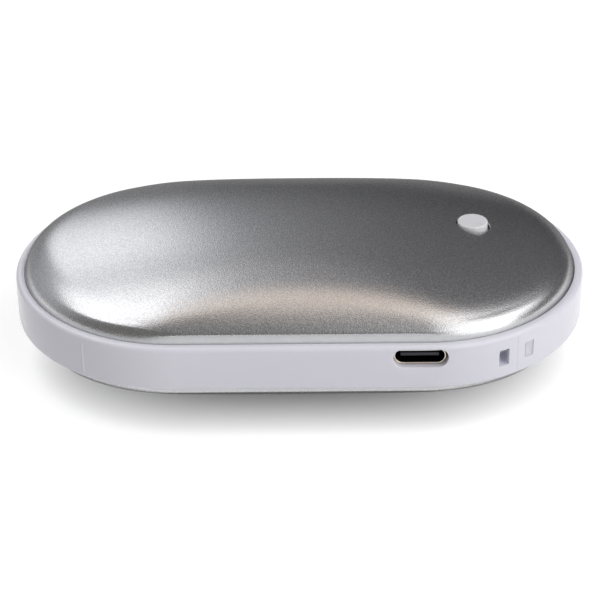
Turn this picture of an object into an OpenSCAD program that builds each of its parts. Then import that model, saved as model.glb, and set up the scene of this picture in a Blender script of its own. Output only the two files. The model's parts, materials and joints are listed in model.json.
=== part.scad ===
// Rechargeable hand warmer: two aluminium half shells round a white plastic band, with a press
// button, a charging socket and a cord bar, and the cells, heating films and circuit board inside.
// Heights below are measured from the middle plane of the band and lifted into place by on_table().

/* [Case] */
// Length of the case
case_l = 102; // [100:0.5:106]
// Width of the case
case_w = 59; // [58:0.5:62]
// Height of the plastic band
band_h = 8.4; // [8.2:0.1:9]
// Height of each metal dome above the band
dome_h = 10; // [9.9:0.1:11]
// Width of the band's rim seen from above
lip_w = 1.6; // [1.5:0.1:1.9]
// Rounding of the band's outer edges
lip_r = 0.8; // [0.4:0.1:0.9]
// Radius of the dome's crown along the case
crown_len_r = 190; // [180:5:240]
// Radius of the dome's crown across the case
crown_wid_r = 68; // [66:1:76]
// Radius of the dome's edge beside the band
edge_r = 2; // [1.9:0.1:2.4]
// Radius of the dome's shoulder above the edge
shoulder_r = 30; // [28:1:34]
// Upright part of the dome's skirt above the band
skirt_h = 0.3; // [0.2:0.1:0.5]
// Depth of the small flat that the case rests on
rest_flat = 0.25; // [0.2:0.05:0.35]

/* [Walls] */
// Thickness of the aluminium shells
shell_t = 0.7; // [0.6:0.05:0.75]
// Thickness of the band's wall at mid height
band_t = 2.6; // [2.5:0.1:2.7]
// Depth that the shells sit down inside the band
seat_depth = 1.6; // [1.2:0.1:1.8]
// Gap between a shell and the band round it
shell_gap = 0.15; // [0.1:0.05:0.2]
// Thickness of the carrier walls
carrier_t = 1.2; // [1:0.1:1.3]
// Height of each carrier's wall
carrier_h = 4.8; // [4.6:0.1:5]
// Clearance between inner pieces
clear = 0.1; // [0.08:0.01:0.14]

/* [Button] */
// Diameter of the button
button_d = 5.4; // [4.8:0.1:5.8]
// Height of the button above the shell
button_proud = 0.85; // [0.6:0.05:1.1]
// Distance of the button from the end of the case
button_inset = 20; // [19.6:0.1:20.2]
// Travel of the button
button_travel = 0.3; // [0.2:0.05:0.3]
// Gap round the button in the shell
button_gap = 0.3; // [0.2:0.05:0.4]
// Thickness of the flange that keeps the button in
flange_t = 0.8; // [0.6:0.1:1]
// Width of the flange beyond the button
flange_w = 0.9; // [0.6:0.1:1.1]
// Diameter of the button's stem
stem_d = 2.8; // [2.4:0.1:3]
// Wall of the tube that guides the stem
guide_t = 0.7; // [0.6:0.05:0.75]

/* [Charging socket] */
// Distance of the socket from the end of the case
port_inset = 30.75; // [30.5:0.25:31.5]
// Height of the socket's centre above the band's middle
port_z = 1.95; // [1.85:0.05:2]
// Width of the socket's mouth
mouth_w = 8.34; // [8.2:0.02:8.4]
// Height of the socket's mouth
mouth_h = 2.56; // [2.5:0.02:2.6]
// Thickness of the socket's sheet metal
socket_t = 0.3; // [0.25:0.05:0.3]
// Length of the socket
socket_l = 7.3; // [7.1:0.1:7.5]
// Depth of the socket's mouth behind the band's face
socket_recess = 0.3; // [0.1:0.1:0.5]
// Gap round the socket in the band
port_gap = 0.12; // [0.08:0.02:0.16]

/* [Cord bar] */
// Angle of the cord bar round the end of the case, from the front
bar_angle = 32; // [30:1:34]
// Width of the bar between the two windows
bar_w = 3.35; // [3:0.05:3.6]
// Width of each window
window_w = 2; // [1.8:0.1:2.1]
// Height of each window
window_h = 3.1; // [2.6:0.1:3.4]
// Thickness of the bar
bar_t = 1.7; // [1.4:0.1:1.9]
// Depth of the tunnel behind the bar
tunnel_d = 2.2; // [1.8:0.1:2.3]

/* [Cells] */
// Diameter of a cell's steel can
can_d = 18; // [17.8:0.1:18.1]
// Distance of the cells from the far end of the case
cell_inset = 14.6; // [14.5:0.05:15]
// Thickness of a cell's sleeve
sleeve_t = 0.1; // [0.08:0.01:0.12]
// Length kept free for the circuit board, from the end of the case
board_zone_l = 22.4; // [22.3:0.1:22.6]
// Thickness of the nickel strips
strip_t = 0.15; // [0.1:0.01:0.2]

/* [Circuit board] */
// Thickness of the circuit board
board_t = 1; // [0.8:0.1:1.2]
// Width of the button's switch along the case
switch_w = 3; // [2.6:0.1:3]
// Length of the button's switch across the case
switch_l = 4; // [3.6:0.1:4.4]
// Height of the switch's base
switch_h = 1.5; // [1.4:0.1:1.6]
// Height of the switch's plunger above its cover
plunger_h = 0.9; // [0.7:0.1:1]

/* [Heating films] */
// Thickness of a heating film with its adhesive
film_t = 0.15; // [0.1:0.01:0.2]
// Thickness of the etched heating track
track_t = 0.1; // [0.05:0.01:0.12]
// Width of the heating track
track_w = 1.6; // [1.2:0.1:2]
// Number of runs of the heating track
track_runs = 11; // [7:2:13]

/* [Hidden] */

// Outline: a straight-sided oval with round ends
end_r = case_w / 2;
end_x = case_l / 2 - end_r;
rim_z = band_h / 2;
top_z = rim_z + dome_h;
mid_z = top_z - rest_flat;
seat_z = rim_z - seat_depth;

// Dome section: the edge arc turns to edge_turn, the shoulder arc goes on to shoulder_turn
edge_turn = 48;
shoulder_turn = 68;

// Button and switch
button_x = case_l / 2 - button_inset;
button_top = crown_height(button_x, 0) + button_proud;
flange_r = button_d / 2 + flange_w;
flange_top = crown_height(button_x + flange_r, 0) - shell_t - 0.35;
flange_bottom = flange_top - flange_t;
guide_r = stem_d / 2 + clear + guide_t;
guide_top = flange_bottom - button_travel - 0.2;

// Charging socket and circuit board
port_x = case_l / 2 - port_inset;
socket_w = mouth_w + 2 * socket_t;
socket_h = mouth_h + 2 * socket_t;
socket_front = -end_r + socket_recess;
socket_back = socket_front + socket_l;
board_top = port_z - socket_h / 2;
board_bottom = board_top - board_t;
board_edge_r = end_r - band_t - clear - carrier_t - 0.3;
bridge_z = carrier_h - 1;
switch_top = board_top + switch_h;
cover_t = 0.15;
plunger_top = switch_top + cover_t + plunger_h;
dome_base_z = board_top + 0.4;
dome_apex_z = dome_base_z + 0.4;

// Cells
cell_r = can_d / 2 + sleeve_t;
cell_y = cell_r + 0.15;
cell_x1 = case_l / 2 - board_zone_l;
cell_x0 = -case_l / 2 + cell_inset;
cell_l = cell_x1 - cell_x0;
cap_h = 0.3;
insulator_t = 0.15;
strip_w = 8;

// Carriers
carrier_r = end_r - band_t - clear;
saddle_inset = 10.5;
saddle_x = [cell_x0 + saddle_inset, (cell_x0 + cell_x1) / 2, cell_x1 - saddle_inset];
saddle_t = 2.4;
saddle_h = cell_r + 1.5;
boss_r = 2.2;
boss_h = 6;
left_boss = [saddle_x[0], cell_y + cell_r + 1.2 + boss_r];
boss_inset = [15, 12.5];
right_boss = [case_l / 2 - boss_inset[0], end_r - boss_inset[1]];
screw_r = 1;
screw_head_r = 1.8;
screw_head_h = 1.3;
screw_seat = 4.4;
board_half_w = end_r - 14.1;
board_screw_at = [
    [case_l / 2 - 9, -board_half_w + 5.9], [case_l / 2 - 18.4, board_half_w - 2.2],
    [port_x - 8.2, -end_r + 6.9]
];
board_screw_l = 4;

// Heating films and foam
film_inset = [4.4, 6.6];
film_side_gap = 14.5;
film_x0 = cell_x0 + film_inset[0];
film_x1 = cell_x1 - film_inset[1];
film_half_w = end_r - film_side_gap;
pad_inset = 1.5;
foam_gap = 0.2;
foam_half_w = film_half_w - 2;

// Wires, and the slots in the carriers that they drop through
wire_r = 0.55;
thin_wire_r = 0.45;
sensor_wire_r = 0.3;
lead_y = film_half_w - pad_inset;
sensor_lead_y = 5.6;
lead_slot = 2.4;
RING = 8;

function crown_height(x, y, k = 0) =
    let (across = crown_wid_r - k)
    let (reach = crown_len_r - crown_wid_r + sqrt(across * across - y * y))
    top_z - crown_len_r + sqrt(reach * reach - x * x);

function arc(c, r, a0, a1, steps) =
    [for (i = [0 : steps]) let (a = a0 + (a1 - a0) * i / steps) [c[0] + r * cos(a), c[1] + r * sin(a)]];

function unit(v) = v / norm(v);

// Points of a smooth curve through the given points, steps pieces between each two
function smooth(p, steps) = [
    for (i = [0 : len(p) - 2], j = [0 : steps - 1])
        let (t = j / steps)
        let (a = p[max(i - 1, 0)], b = p[i], c = p[i + 1], d = p[min(i + 2, len(p) - 1)])
        0.5 * (2 * b + (c - a) * t + (2 * a - 5 * b + 4 * c - d) * t * t + (3 * b - a - 3 * c + d) * t * t * t),
    p[len(p) - 1]
];

// The given points with the middles of the first and last stretch added, so that both ends run straight
function straight_ends(p) =
    let (n = len(p))
    [p[0], (p[0] + p[1]) / 2, for (i = [1 : n - 2]) p[i], (p[n - 2] + p[n - 1]) / 2, p[n - 1]];

// Lifts what is drawn round the middle plane of the band to its height on the table
module on_table() {
    translate([0, 0, mid_z]) children();
}

// Sweeps a half section, drawn from the middle line outwards, round the oval outline
module sweep_oval() {
    translate([-end_x, 0, 0])
        rotate([90, 0, 90])
            linear_extrude(height = 2 * end_x) {
                children();
                mirror([1, 0]) children();
            }
    translate([end_x, 0, 0]) rotate([0, 0, -90]) rotate_extrude(angle = 180, $fn = 120) children();
    translate([-end_x, 0, 0]) rotate([0, 0, 90]) rotate_extrude(angle = 180, $fn = 120) children();
}

// Flat oval plate between two heights, its edge at radius r round the end centres
module oval_plate(r, z0, z1) {
    sweep_oval() translate([0, z0]) square([r, z1 - z0]);
}

// The doubly curved crown, k below the outer surface: the part of a large ring over the case
module crown(k) {
    ring_r = crown_len_r - crown_wid_r;
    reach = top_z + 4;
    spread = 30;
    translate([0, 0, top_z - crown_len_r])
        rotate([90, -90 + spread, 0])
            rotate_extrude(angle = 2 * spread, $fn = 240)
                intersection() {
                    translate([ring_r, 0]) rotate(180) circle(r = crown_wid_r - k, $fn = 160);
                    translate([crown_len_r - reach, -end_r - 5]) square([reach + 1, 2 * end_r + 10]);
                }
}

// Half section of the skirt, edge and shoulder, k inside the outer surface and down to z0
module shoulder_section(k, z0) {
    edge_c = [end_r - lip_w - edge_r, rim_z + skirt_h];
    shoulder_c = edge_c - (shoulder_r - edge_r) * [cos(edge_turn), sin(edge_turn)];
    bend = arc(edge_c, edge_r - k, 0, edge_turn, 5);
    slope = arc(shoulder_c, shoulder_r - k, edge_turn, shoulder_turn, 6);
    last = slope[len(slope) - 1];
    polygon(concat(
        [[0, z0], [end_r - lip_w - k, z0]],
        bend,
        [for (i = [1 : len(slope) - 1]) slope[i]],
        [[0, last[1] + last[0] / tan(shoulder_turn)]]
    ));
}

// Solid dome from height z0 up, k inside the outer surface
module dome(k, z0) {
    intersection() {
        sweep_oval() shoulder_section(k, z0);
        crown(k);
    }
}

// Mouth shape of the charging socket, grown by g on every side
module socket_outline(g) {
    h = mouth_h + 2 * g;
    straight = mouth_w - mouth_h;
    square([straight, h], center = true);
    for (side = [-1, 1]) translate([side * straight / 2, 0]) circle(d = h, $fn = 48);
}

// Extrudes a shape drawn in the socket's front view along the socket's axis
module along_port(y0, y1) {
    translate([port_x, y1, port_z]) rotate([90, 0, 0]) linear_extrude(height = y1 - y0) children();
}

// One metal half shell, still without its button hole or its resting flat
module half_shell() {
    difference() {
        dome(0, seat_z);
        dome(shell_t, seat_z - 1);
    }
}

module top_shell() color([0.72, 0.72, 0.73]) on_table() {
    difference() {
        half_shell();
        translate([button_x, 0, rim_z]) cylinder(d = button_d + 2 * button_gap, h = dome_h, $fn = 48);
        along_port(-end_r, -end_r + 2 * lip_w + band_t) socket_outline(socket_t + port_gap);
    }
}

module bottom_shell() color([0.72, 0.72, 0.73]) on_table() {
    difference() {
        mirror([0, 0, 1]) half_shell();
        translate([-end_r, -end_r, -mid_z - 5]) cube([2 * end_r, 2 * end_r, 5]);
    }
}

// Half section of the band: rounded outer edges, a step at each end for the shells to sit on
module band_section() {
    lip = end_r - lip_w + shell_gap;
    wall = end_r - band_t;
    polygon(concat(
        [[wall, -seat_z], [lip, -seat_z], [lip, -rim_z]],
        arc([end_r - lip_r, -rim_z + lip_r], lip_r, -90, 0, 6),
        arc([end_r - lip_r, rim_z - lip_r], lip_r, 0, 90, 6),
        [[lip, rim_z], [lip, seat_z], [wall, seat_z]]
    ));
}

// Piece of a flat ring round the right end's centre, between two angles from the front
module end_sector(r0, r1, z0, z1, a0, a1) {
    translate([end_x, 0, 0])
        rotate([0, 0, a0 - 90])
            rotate_extrude(angle = a1 - a0, $fn = 120)
                translate([r0, z0]) square([r1 - r0, z1 - z0]);
}

window_turn = 2 * asin((bar_w + window_w) / 4 / end_r);
window_half = asin(window_w / 2 / end_r);
tunnel_out = end_r - bar_t;
tunnel_in = tunnel_out - tunnel_d;
pocket_wall = 0.8;
pocket_turn = asin(pocket_wall / tunnel_in);

// Walled pocket on the band's inner face that the cord tunnel lies in, grown by g
module cord_pocket(g) {
    spread = window_turn + window_half + pocket_turn + asin(g / tunnel_in);
    end_sector(tunnel_in - pocket_wall - g, end_r - band_t + 0.4, -seat_z, seat_z, bar_angle - spread,
        bar_angle + spread);
}

// Cord tunnel with its two windows
module cord_tunnel() {
    spread = window_turn + window_half;
    end_sector(tunnel_in, tunnel_out, -window_h / 2, window_h / 2, bar_angle - spread,
        bar_angle + spread);
    for (side = [-1, 1])
        translate([end_x, 0, 0])
            rotate([0, 0, bar_angle + side * window_turn - 90])
                translate([tunnel_in + 0.3, -window_w / 2, -window_h / 2])
                    cube([end_r - tunnel_in, window_w, window_h]);
}

// Fine lines where the halves of the band's mould met
module mould_lines() {
    line_w = 0.15;
    line_depth = 0.08;
    for (end = [-1, 1], side = [-1, 1])
        translate([end * end_x, 0, 0])
            rotate([0, 0, end > 0 ? side * (90 - bar_angle) : 180 + side * (90 - bar_angle)])
                translate([end_r - line_depth, -line_w / 2, -rim_z]) cube([1, line_w, band_h]);
}

module middle_band() color([0.92, 0.92, 0.95]) on_table() {
    difference() {
        union() {
            sweep_oval() band_section();
            cord_pocket(0);
        }
        along_port(-end_r - 1, -end_r + band_t + 1) socket_outline(socket_t + port_gap);
        cord_tunnel();
        mould_lines();
    }
}

module power_button() color([0.95, 0.95, 0.97]) on_table() {
    edge = 0.25;
    r = button_d / 2;
    translate([button_x, 0, 0])
        rotate_extrude($fn = 64)
            polygon([
                [0, plunger_top], [stem_d / 2, plunger_top], [stem_d / 2, flange_bottom],
                [flange_r, flange_bottom], [flange_r, flange_top], [r, flange_top],
                [r, button_top - edge], [r - 0.3 * edge, button_top - 0.3 * edge],
                [r - edge, button_top], [0, button_top]
            ]);
}

// Outline of the circuit board, grown by g: the end piece, and an arm below the charging socket
module board_outline(g) {
    x0 = cell_x1 + 0.4;
    arm_y = -(cell_y + cell_r) - 1.2;
    difference() {
        intersection() {
            union() {
                translate([x0 - g, -board_half_w - g]) square([case_l / 2 - x0, 2 * (board_half_w + g)]);
                translate([port_x - 10.2 - g, -end_r]) square([x0 + 4 - port_x + 10.2 + 2 * g, end_r + arm_y + g]);
                translate([x0 - g, -end_r]) square([4 + 2 * g, end_r]);
            }
            union() {
                translate([end_x, 0]) circle(r = board_edge_r + g, $fn = 120);
                translate([0, -board_edge_r - g]) square([end_x, 2 * board_edge_r + 2 * g]);
            }
        }
        for (side = [-1, 1])
            translate([right_boss[0], side * right_boss[1]]) circle(r = boss_r + 0.3 - g, $fn = 48);
        difference() {
            translate([x0 - 0.5, -end_r]) square([10, end_r - 17]);
            translate([end_x, 0]) circle(r = tunnel_in - pocket_wall - 0.3 + g, $fn = 120);
        }
    }
}

// Upright plates that hold the two cells, cut to the cells and to the inside of the dome
module saddles() {
    intersection() {
        dome(shell_t + film_t + track_t + 0.3, 0);
        difference() {
            for (x = saddle_x)
                translate([x - saddle_t / 2, -carrier_r + carrier_t / 2, 0])
                    cube([saddle_t, 2 * carrier_r - carrier_t, saddle_h]);
            for (side = [-1, 1])
                translate([cell_x0 - 1, side * cell_y, 0])
                    rotate([0, 90, 0])
                        cylinder(r = cell_r + clear, h = cell_l + 2, $fn = 96);
            translate([cell_x0, -2.4, -1]) cube([cell_l, 4.8, 5.6]);
        }
    }
}

// What both carriers share: the wall, the saddles, the bridge at the board end and the bosses
module carrier_frame() {
    difference() {
        oval_plate(carrier_r, 0, carrier_h);
        oval_plate(carrier_r - carrier_t, -1, carrier_h + 1);
    }
    saddles();
    intersection() {
        oval_plate(carrier_r - carrier_t / 2, bridge_z, carrier_h);
        translate([cell_x1 + 0.3, -end_r, bridge_z]) cube([7, 2 * end_r, 1]);
    }
    for (side = [-1, 1]) {
        translate([left_boss[0], side * left_boss[1], 0]) cylinder(r = boss_r, h = boss_h, $fn = 48);
        translate([right_boss[0], side * right_boss[1], 0]) cylinder(r = boss_r, h = boss_h, $fn = 48);
    }
}

// Puts what follows at the foot of each of the four screw bosses
module at_bosses() {
    for (side = [-1, 1]) {
        translate([left_boss[0], side * left_boss[1], 0]) children();
        translate([right_boss[0], side * right_boss[1], 0]) children();
    }
}

// Room for the socket, the board and the cord pocket in the carriers
module end_clearance(z0, z1) {
    translate([0, 0, z0]) linear_extrude(height = z1 - z0) board_outline(0.25);
    cord_pocket(0.2);
    translate([port_x, socket_front + socket_l / 2, port_z])
        cube([socket_w + 0.5, socket_l + 0.5, socket_h + 0.5], center = true);
}

module upper_carrier() color([0.2, 0.2, 0.22]) on_table() {
    difference() {
        union() {
            carrier_frame();
            translate([button_x, 0, bridge_z]) cylinder(r = guide_r, h = guide_top - bridge_z, $fn = 48);
        }
        end_clearance(-1, bridge_z - 0.05);
        at_bosses() translate([0, 0, -1]) cylinder(r = screw_r, h = boss_h, $fn = 32);
        translate([button_x, 0, bridge_z - 1])
            cylinder(r = stem_d / 2 + clear, h = guide_top - bridge_z + 2, $fn = 48);
        for (y = [-lead_y, -sensor_lead_y, sensor_lead_y, lead_y])
            translate([cell_x1 + 0.25, y - lead_slot / 2, bridge_z - 1]) cube([2, lead_slot, 3]);
    }
}

module lower_carrier() color([0.2, 0.2, 0.22]) on_table() {
    difference() {
        union() {
            mirror([0, 0, 1]) carrier_frame();
            for (p = board_screw_at)
                translate([p[0], p[1], -carrier_h]) cylinder(r = 2, h = carrier_h + board_bottom, $fn = 48);
            intersection() {
                mirror([0, 0, 1]) oval_plate(carrier_r - carrier_t / 2, bridge_z, carrier_h);
                union() {
                    translate([cell_x1 + 0.3, -end_r, -carrier_h]) cube([end_r, 2 * end_r, 1]);
                    translate([port_x - 10.4, -end_r, -carrier_h]) cube([20, end_r - cell_y - cell_r - 0.6, 1]);
                }
            }
        }
        end_clearance(board_bottom, 1);
        mirror([0, 0, 1]) at_bosses() {
            translate([0, 0, -1]) cylinder(r = screw_r + 0.15, h = boss_h + 2, $fn = 32);
            translate([0, 0, screw_seat]) cylinder(r = screw_head_r + 0.15, h = boss_h, $fn = 32);
        }
        for (p = board_screw_at)
            translate([p[0], p[1], board_top - board_screw_l]) cylinder(r = screw_r, h = board_screw_l, $fn = 32);
        for (side = [-1, 1])
            translate([cell_x1 + 0.25, side * lead_y - lead_slot / 2, -carrier_h - 1]) cube([2, lead_slot, 3]);
    }
}

// Self-tapping screw standing on its head's underside, head down, with a crossed slot
module screw(length) {
    difference() {
        union() {
            translate([0, 0, -screw_head_h]) cylinder(r = screw_head_r, h = screw_head_h, $fn = 32);
            cylinder(r = screw_r, h = length - 1, $fn = 32);
            translate([0, 0, length - 1]) cylinder(r1 = screw_r, r2 = 0.3, h = 1, $fn = 32);
        }
        for (a = [0, 90])
            rotate([0, 0, a]) translate([-1.1, -0.25, -screw_head_h - 1]) cube([2.2, 0.5, 1.7]);
    }
}

module case_screws() color([0.55, 0.56, 0.58]) on_table() {
    mirror([0, 0, 1])
        at_bosses()
            translate([0, 0, screw_seat]) mirror([0, 0, 1]) screw(screw_seat + boss_h - 1.6);
}

module board_screws() color([0.55, 0.56, 0.58]) on_table() {
    for (p = board_screw_at)
        translate([p[0], p[1], board_top]) mirror([0, 0, 1]) screw(board_screw_l - 0.4);
}

// Turns a section drawn along the cell, with its positive end to the right
module turned_cell(side) {
    translate([cell_x0, side * cell_y, 0]) rotate([0, 90, 0]) rotate_extrude($fn = 96) children();
}

can_x0 = sleeve_t;
can_x1 = cell_l - cap_h - insulator_t - sleeve_t;

// Steel can with its crimp groove and raised positive cap; the section's height runs along it
module cell(side) color([0.62, 0.63, 0.65]) on_table() {
    groove_at = can_x1 - 3.2;
    turned_cell(side)
        polygon([
            [0, can_x0], [can_d / 2 - 0.5, can_x0], [can_d / 2, can_x0 + 0.5],
            [can_d / 2, groove_at - 0.7], [can_d / 2 - 0.7, groove_at], [can_d / 2, groove_at + 0.7],
            [can_d / 2, can_x1 - 0.6], [can_d / 2 - 0.6, can_x1], [3.2, can_x1], [2.8, cell_l], [0, cell_l]
        ]);
}

module sleeve(side, tint) color(tint) on_table() {
    turned_cell(side)
        polygon([
            [can_d / 2 - 1.6, 0], [cell_r, 0], [cell_r, cell_l - cap_h], [can_d / 2 - 1.6, cell_l - cap_h],
            [can_d / 2 - 1.6, cell_l - cap_h - sleeve_t], [can_d / 2, cell_l - cap_h - sleeve_t],
            [can_d / 2, sleeve_t], [can_d / 2 - 1.6, sleeve_t]
        ]);
}

module insulator(side) color([0.93, 0.93, 0.88]) on_table() {
    turned_cell(side) translate([3.6, can_x1]) square([can_d / 2 - 0.9 - 3.6, insulator_t]);
}

module front_cell() cell(-1);
module rear_cell() cell(1);
module front_cell_sleeve() sleeve(-1, [0.1, 0.45, 0.6]);
module rear_cell_sleeve() sleeve(1, [0.1, 0.45, 0.6]);
module front_cell_insulator() insulator(-1);
module rear_cell_insulator() insulator(1);

// Nickel strip across the two cells, its face at x, with a slot between the welds on each cell
module strip(x) {
    difference() {
        translate([x, -cell_y - 5, -strip_w / 2]) cube([strip_t, 2 * cell_y + 10, strip_w]);
        for (side = [-1, 1])
            translate([x - 1, side * cell_y - 4, -0.4]) cube([3, 8, 0.8]);
        translate([x - 1, -2.6, -strip_w / 2 - 1]) cube([3, 5.2, 3]);
        translate([x - 1, -2.6, strip_w / 2 - 2]) cube([3, 5.2, 3]);
    }
}

module positive_strip() color([0.75, 0.74, 0.7]) on_table() strip(cell_x1);

module negative_strip() color([0.75, 0.74, 0.7]) on_table() {
    strip(cell_x0 - strip_t);
    for (side = [-1, 1], z = [-1, 1])
        translate([cell_x0, side * cell_y, z * 2.2]) rotate([0, 90, 0]) cylinder(r = 0.7, h = can_x0, $fn = 24);
}

fuse_t = 1.4;
fuse_x = cell_x0 - strip_t - fuse_t;
tab_t = 0.2;

module thermal_fuse() color([0.25, 0.22, 0.2]) on_table() {
    translate([fuse_x, -5, -1.9]) cube([fuse_t, 10, 3.8]);
    translate([fuse_x + fuse_t - tab_t, 4.9, -1]) cube([tab_t, 2.6, 2]);
    translate([fuse_x, -7.5, -1]) cube([tab_t, 2.6, 2]);
}

// Slice of the space just under the crown, from k0 to k1 below the outer surface
module crown_slice(k0, k1) {
    intersection() {
        difference() {
            crown(k0);
            crown(k1);
        }
        translate([0, 0, rim_z]) linear_extrude(height = dome_h) children();
    }
}

module film_outline() {
    r = 3;
    translate([film_x0 + r, -film_half_w]) square([film_x1 - film_x0 - 2 * r, 2 * film_half_w]);
    translate([film_x0, -film_half_w + r]) square([film_x1 - film_x0, 2 * film_half_w - 2 * r]);
    for (x = [film_x0 + r, film_x1 - r], side = [-1, 1])
        translate([x, side * (film_half_w - r)]) circle(r = r, $fn = 32);
}

// Back and forth track with a solder pad at each end
module track_outline() {
    pitch = 2 * (film_half_w - pad_inset) / (track_runs - 1);
    x0 = film_x0 + 1.6;
    x1 = film_x1 - 3.4;
    for (i = [0 : track_runs - 1]) {
        y = -film_half_w + pad_inset + i * pitch;
        translate([x0, y - track_w / 2]) square([x1 - x0, track_w]);
        if (i < track_runs - 1)
            translate([i % 2 == 0 ? x0 : x1 - track_w, y]) square([track_w, pitch]);
    }
    for (side = [-1, 1])
        translate([x1, side * (film_half_w - pad_inset) - track_w / 2]) square([2.4, track_w]);
}

module top_heater_film() color([0.85, 0.6, 0.2]) on_table() {
    crown_slice(shell_t, shell_t + film_t) film_outline();
}

module top_heater_track() color([0.7, 0.5, 0.4]) on_table() {
    crown_slice(shell_t + film_t, shell_t + film_t + track_t) track_outline();
}

module bottom_heater_film() color([0.85, 0.6, 0.2]) on_table() mirror([0, 0, 1]) {
    crown_slice(shell_t, shell_t + film_t) film_outline();
}

module bottom_heater_track() color([0.7, 0.5, 0.4]) on_table() mirror([0, 0, 1]) {
    crown_slice(shell_t + film_t, shell_t + film_t + track_t) track_outline();
}

// Two foam pads that press a heating film against its shell, between the carrier's saddles
module foam_pads() {
    intersection() {
        crown(shell_t + film_t + track_t + 0.05);
        difference() {
            for (i = [0, 1])
                translate([saddle_x[i] + saddle_t / 2 + 0.6, -foam_half_w, cell_r - 2.4])
                    cube([saddle_x[i + 1] - saddle_x[i] - saddle_t - 1.2, 2 * foam_half_w, 12]);
            for (side = [-1, 1])
                translate([cell_x0 - 1, side * cell_y, 0])
                    rotate([0, 90, 0])
                        cylinder(r = cell_r + foam_gap, h = cell_l + 2, $fn = 96);
        }
    }
}

module top_foam_pads() color([0.3, 0.3, 0.32]) on_table() foam_pads();
module bottom_foam_pads() color([0.3, 0.3, 0.32]) on_table() mirror([0, 0, 1]) foam_pads();

leg_y = [socket_back - 0.9, -board_edge_r + 0.9];
leg_w = 1.1;

module circuit_board() color([0.05, 0.35, 0.2]) on_table() {
    difference() {
        translate([0, 0, board_bottom]) linear_extrude(height = board_t) board_outline(0);
        for (p = board_screw_at)
            translate([p[0], p[1], board_bottom - 1]) cylinder(r = screw_r + 0.15, h = board_t + 2, $fn = 32);
        for (side = [-1, 1], y = leg_y)
            translate([port_x + side * (socket_w / 2 - socket_t / 2), y, board_bottom - 1])
                translate([-socket_t / 2 - 0.1, -leg_w / 2 - 0.1, 0]) cube([socket_t + 0.2, leg_w + 0.2, board_t + 2]);
    }
}

module socket_shell() color([0.8, 0.79, 0.76]) on_table() {
    difference() {
        along_port(socket_front, socket_back) socket_outline(socket_t);
        along_port(socket_front - 1, socket_back - socket_t) socket_outline(0);
    }
    for (side = [-1, 1], y = leg_y)
        translate([port_x + side * (socket_w / 2 - socket_t / 2) - socket_t / 2, y - leg_w / 2, board_bottom - 0.2])
            cube([socket_t, leg_w, port_z - board_bottom + 0.2]);
}

tongue_w = 6.6;
tongue_t = 0.7;
contact_pitch = 0.5;
contact_w = 0.25;
contact_t = 0.06;
tongue_front = socket_front + 1.2;
base_front = socket_back - socket_t - 1.4;

module socket_tongue() color([0.1, 0.1, 0.12]) on_table() {
    along_port(base_front, socket_back - socket_t) socket_outline(-0.02);
    along_port(tongue_front, base_front) square([tongue_w, tongue_t], center = true);
}

module socket_contacts() color([0.85, 0.7, 0.35]) on_table() {
    for (i = [-5.5 : 1 : 5.5], side = [-1, 1])
        along_port(tongue_front + 0.5, base_front)
            translate([i * contact_pitch, side * (tongue_t + contact_t) / 2])
                square([contact_w, contact_t], center = true);
    for (i = [-5.5 : 1 : 5.5])
        translate([port_x + i * contact_pitch - contact_w / 2, socket_back, board_top]) cube([contact_w, 0.8, 0.15]);
}

module switch_base() color([0.12, 0.12, 0.13]) on_table() {
    difference() {
        translate([button_x - switch_w / 2, -switch_l / 2, board_top]) cube([switch_w, switch_l, switch_h]);
        translate([button_x, 0, dome_base_z]) cylinder(r = 1.35, h = switch_h, $fn = 48);
    }
}

module switch_cover() color([0.75, 0.75, 0.76]) on_table() {
    difference() {
        union() {
            translate([button_x - switch_w / 2, -switch_l / 2, switch_top]) cube([switch_w, switch_l, cover_t]);
            for (side = [-1, 1])
                translate([button_x - 0.6, side * (switch_l / 2 + cover_t / 2) - cover_t / 2, board_top])
                    cube([1.2, cover_t, switch_h + cover_t]);
        }
        translate([button_x, 0, board_top]) cylinder(r = 0.9, h = 3, $fn = 48);
    }
}

module switch_dome() color([0.8, 0.8, 0.8]) on_table() {
    leaf_t = 0.08;
    translate([button_x, 0, 0])
        rotate_extrude($fn = 48)
            polygon([
                [0, dome_apex_z - leaf_t], [0.45, dome_apex_z - leaf_t], [1.15, dome_base_z],
                [1.25, dome_base_z], [0.5, dome_apex_z], [0, dome_apex_z]
            ]);
}

module switch_plunger() color([0.9, 0.9, 0.9]) on_table() {
    translate([button_x, 0, 0])
        rotate_extrude($fn = 48)
            polygon([
                [0, dome_apex_z], [1.1, dome_apex_z], [1.1, switch_top - 0.05], [0.83, switch_top - 0.05],
                [0.83, plunger_top], [0, plunger_top]
            ]);
}

module indicator_lamps() color([0.98, 0.95, 0.7]) on_table() {
    for (side = [-1, 1])
        translate([button_x - 0.4, side * (switch_l / 2 + 1.6) - 0.8, board_top]) cube([0.8, 1.6, 0.6]);
}

module power_inductor() color([0.3, 0.3, 0.31]) on_table() {
    x = case_l / 2 - 10;
    translate([x - 3, 2, board_top + 0.1]) cube([6, 6, 2.9]);
    for (side = [-1, 1])
        translate([x - 3 + (side > 0 ? 5 : 0), 2.6, board_top]) cube([1, 4.8, 0.1]);
}

chip_at = [case_l / 2 - 12.6, -4.6];

module controller_chip() color([0.1, 0.1, 0.1]) on_table() {
    translate([chip_at[0] - 1.95, chip_at[1] - 2.45, board_top + 0.15]) cube([3.9, 4.9, 1.4]);
}

module chip_leads() color([0.8, 0.8, 0.82]) on_table() {
    for (side = [-1, 1], i = [-1.5 : 1 : 1.5])
        translate([chip_at[0] + side * 2.55 - 0.6, chip_at[1] + i * 1.1 - 0.2, board_top]) cube([1.2, 0.4, 0.15]);
}

transistor = [4.4, 3.4, 1.1];

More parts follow.
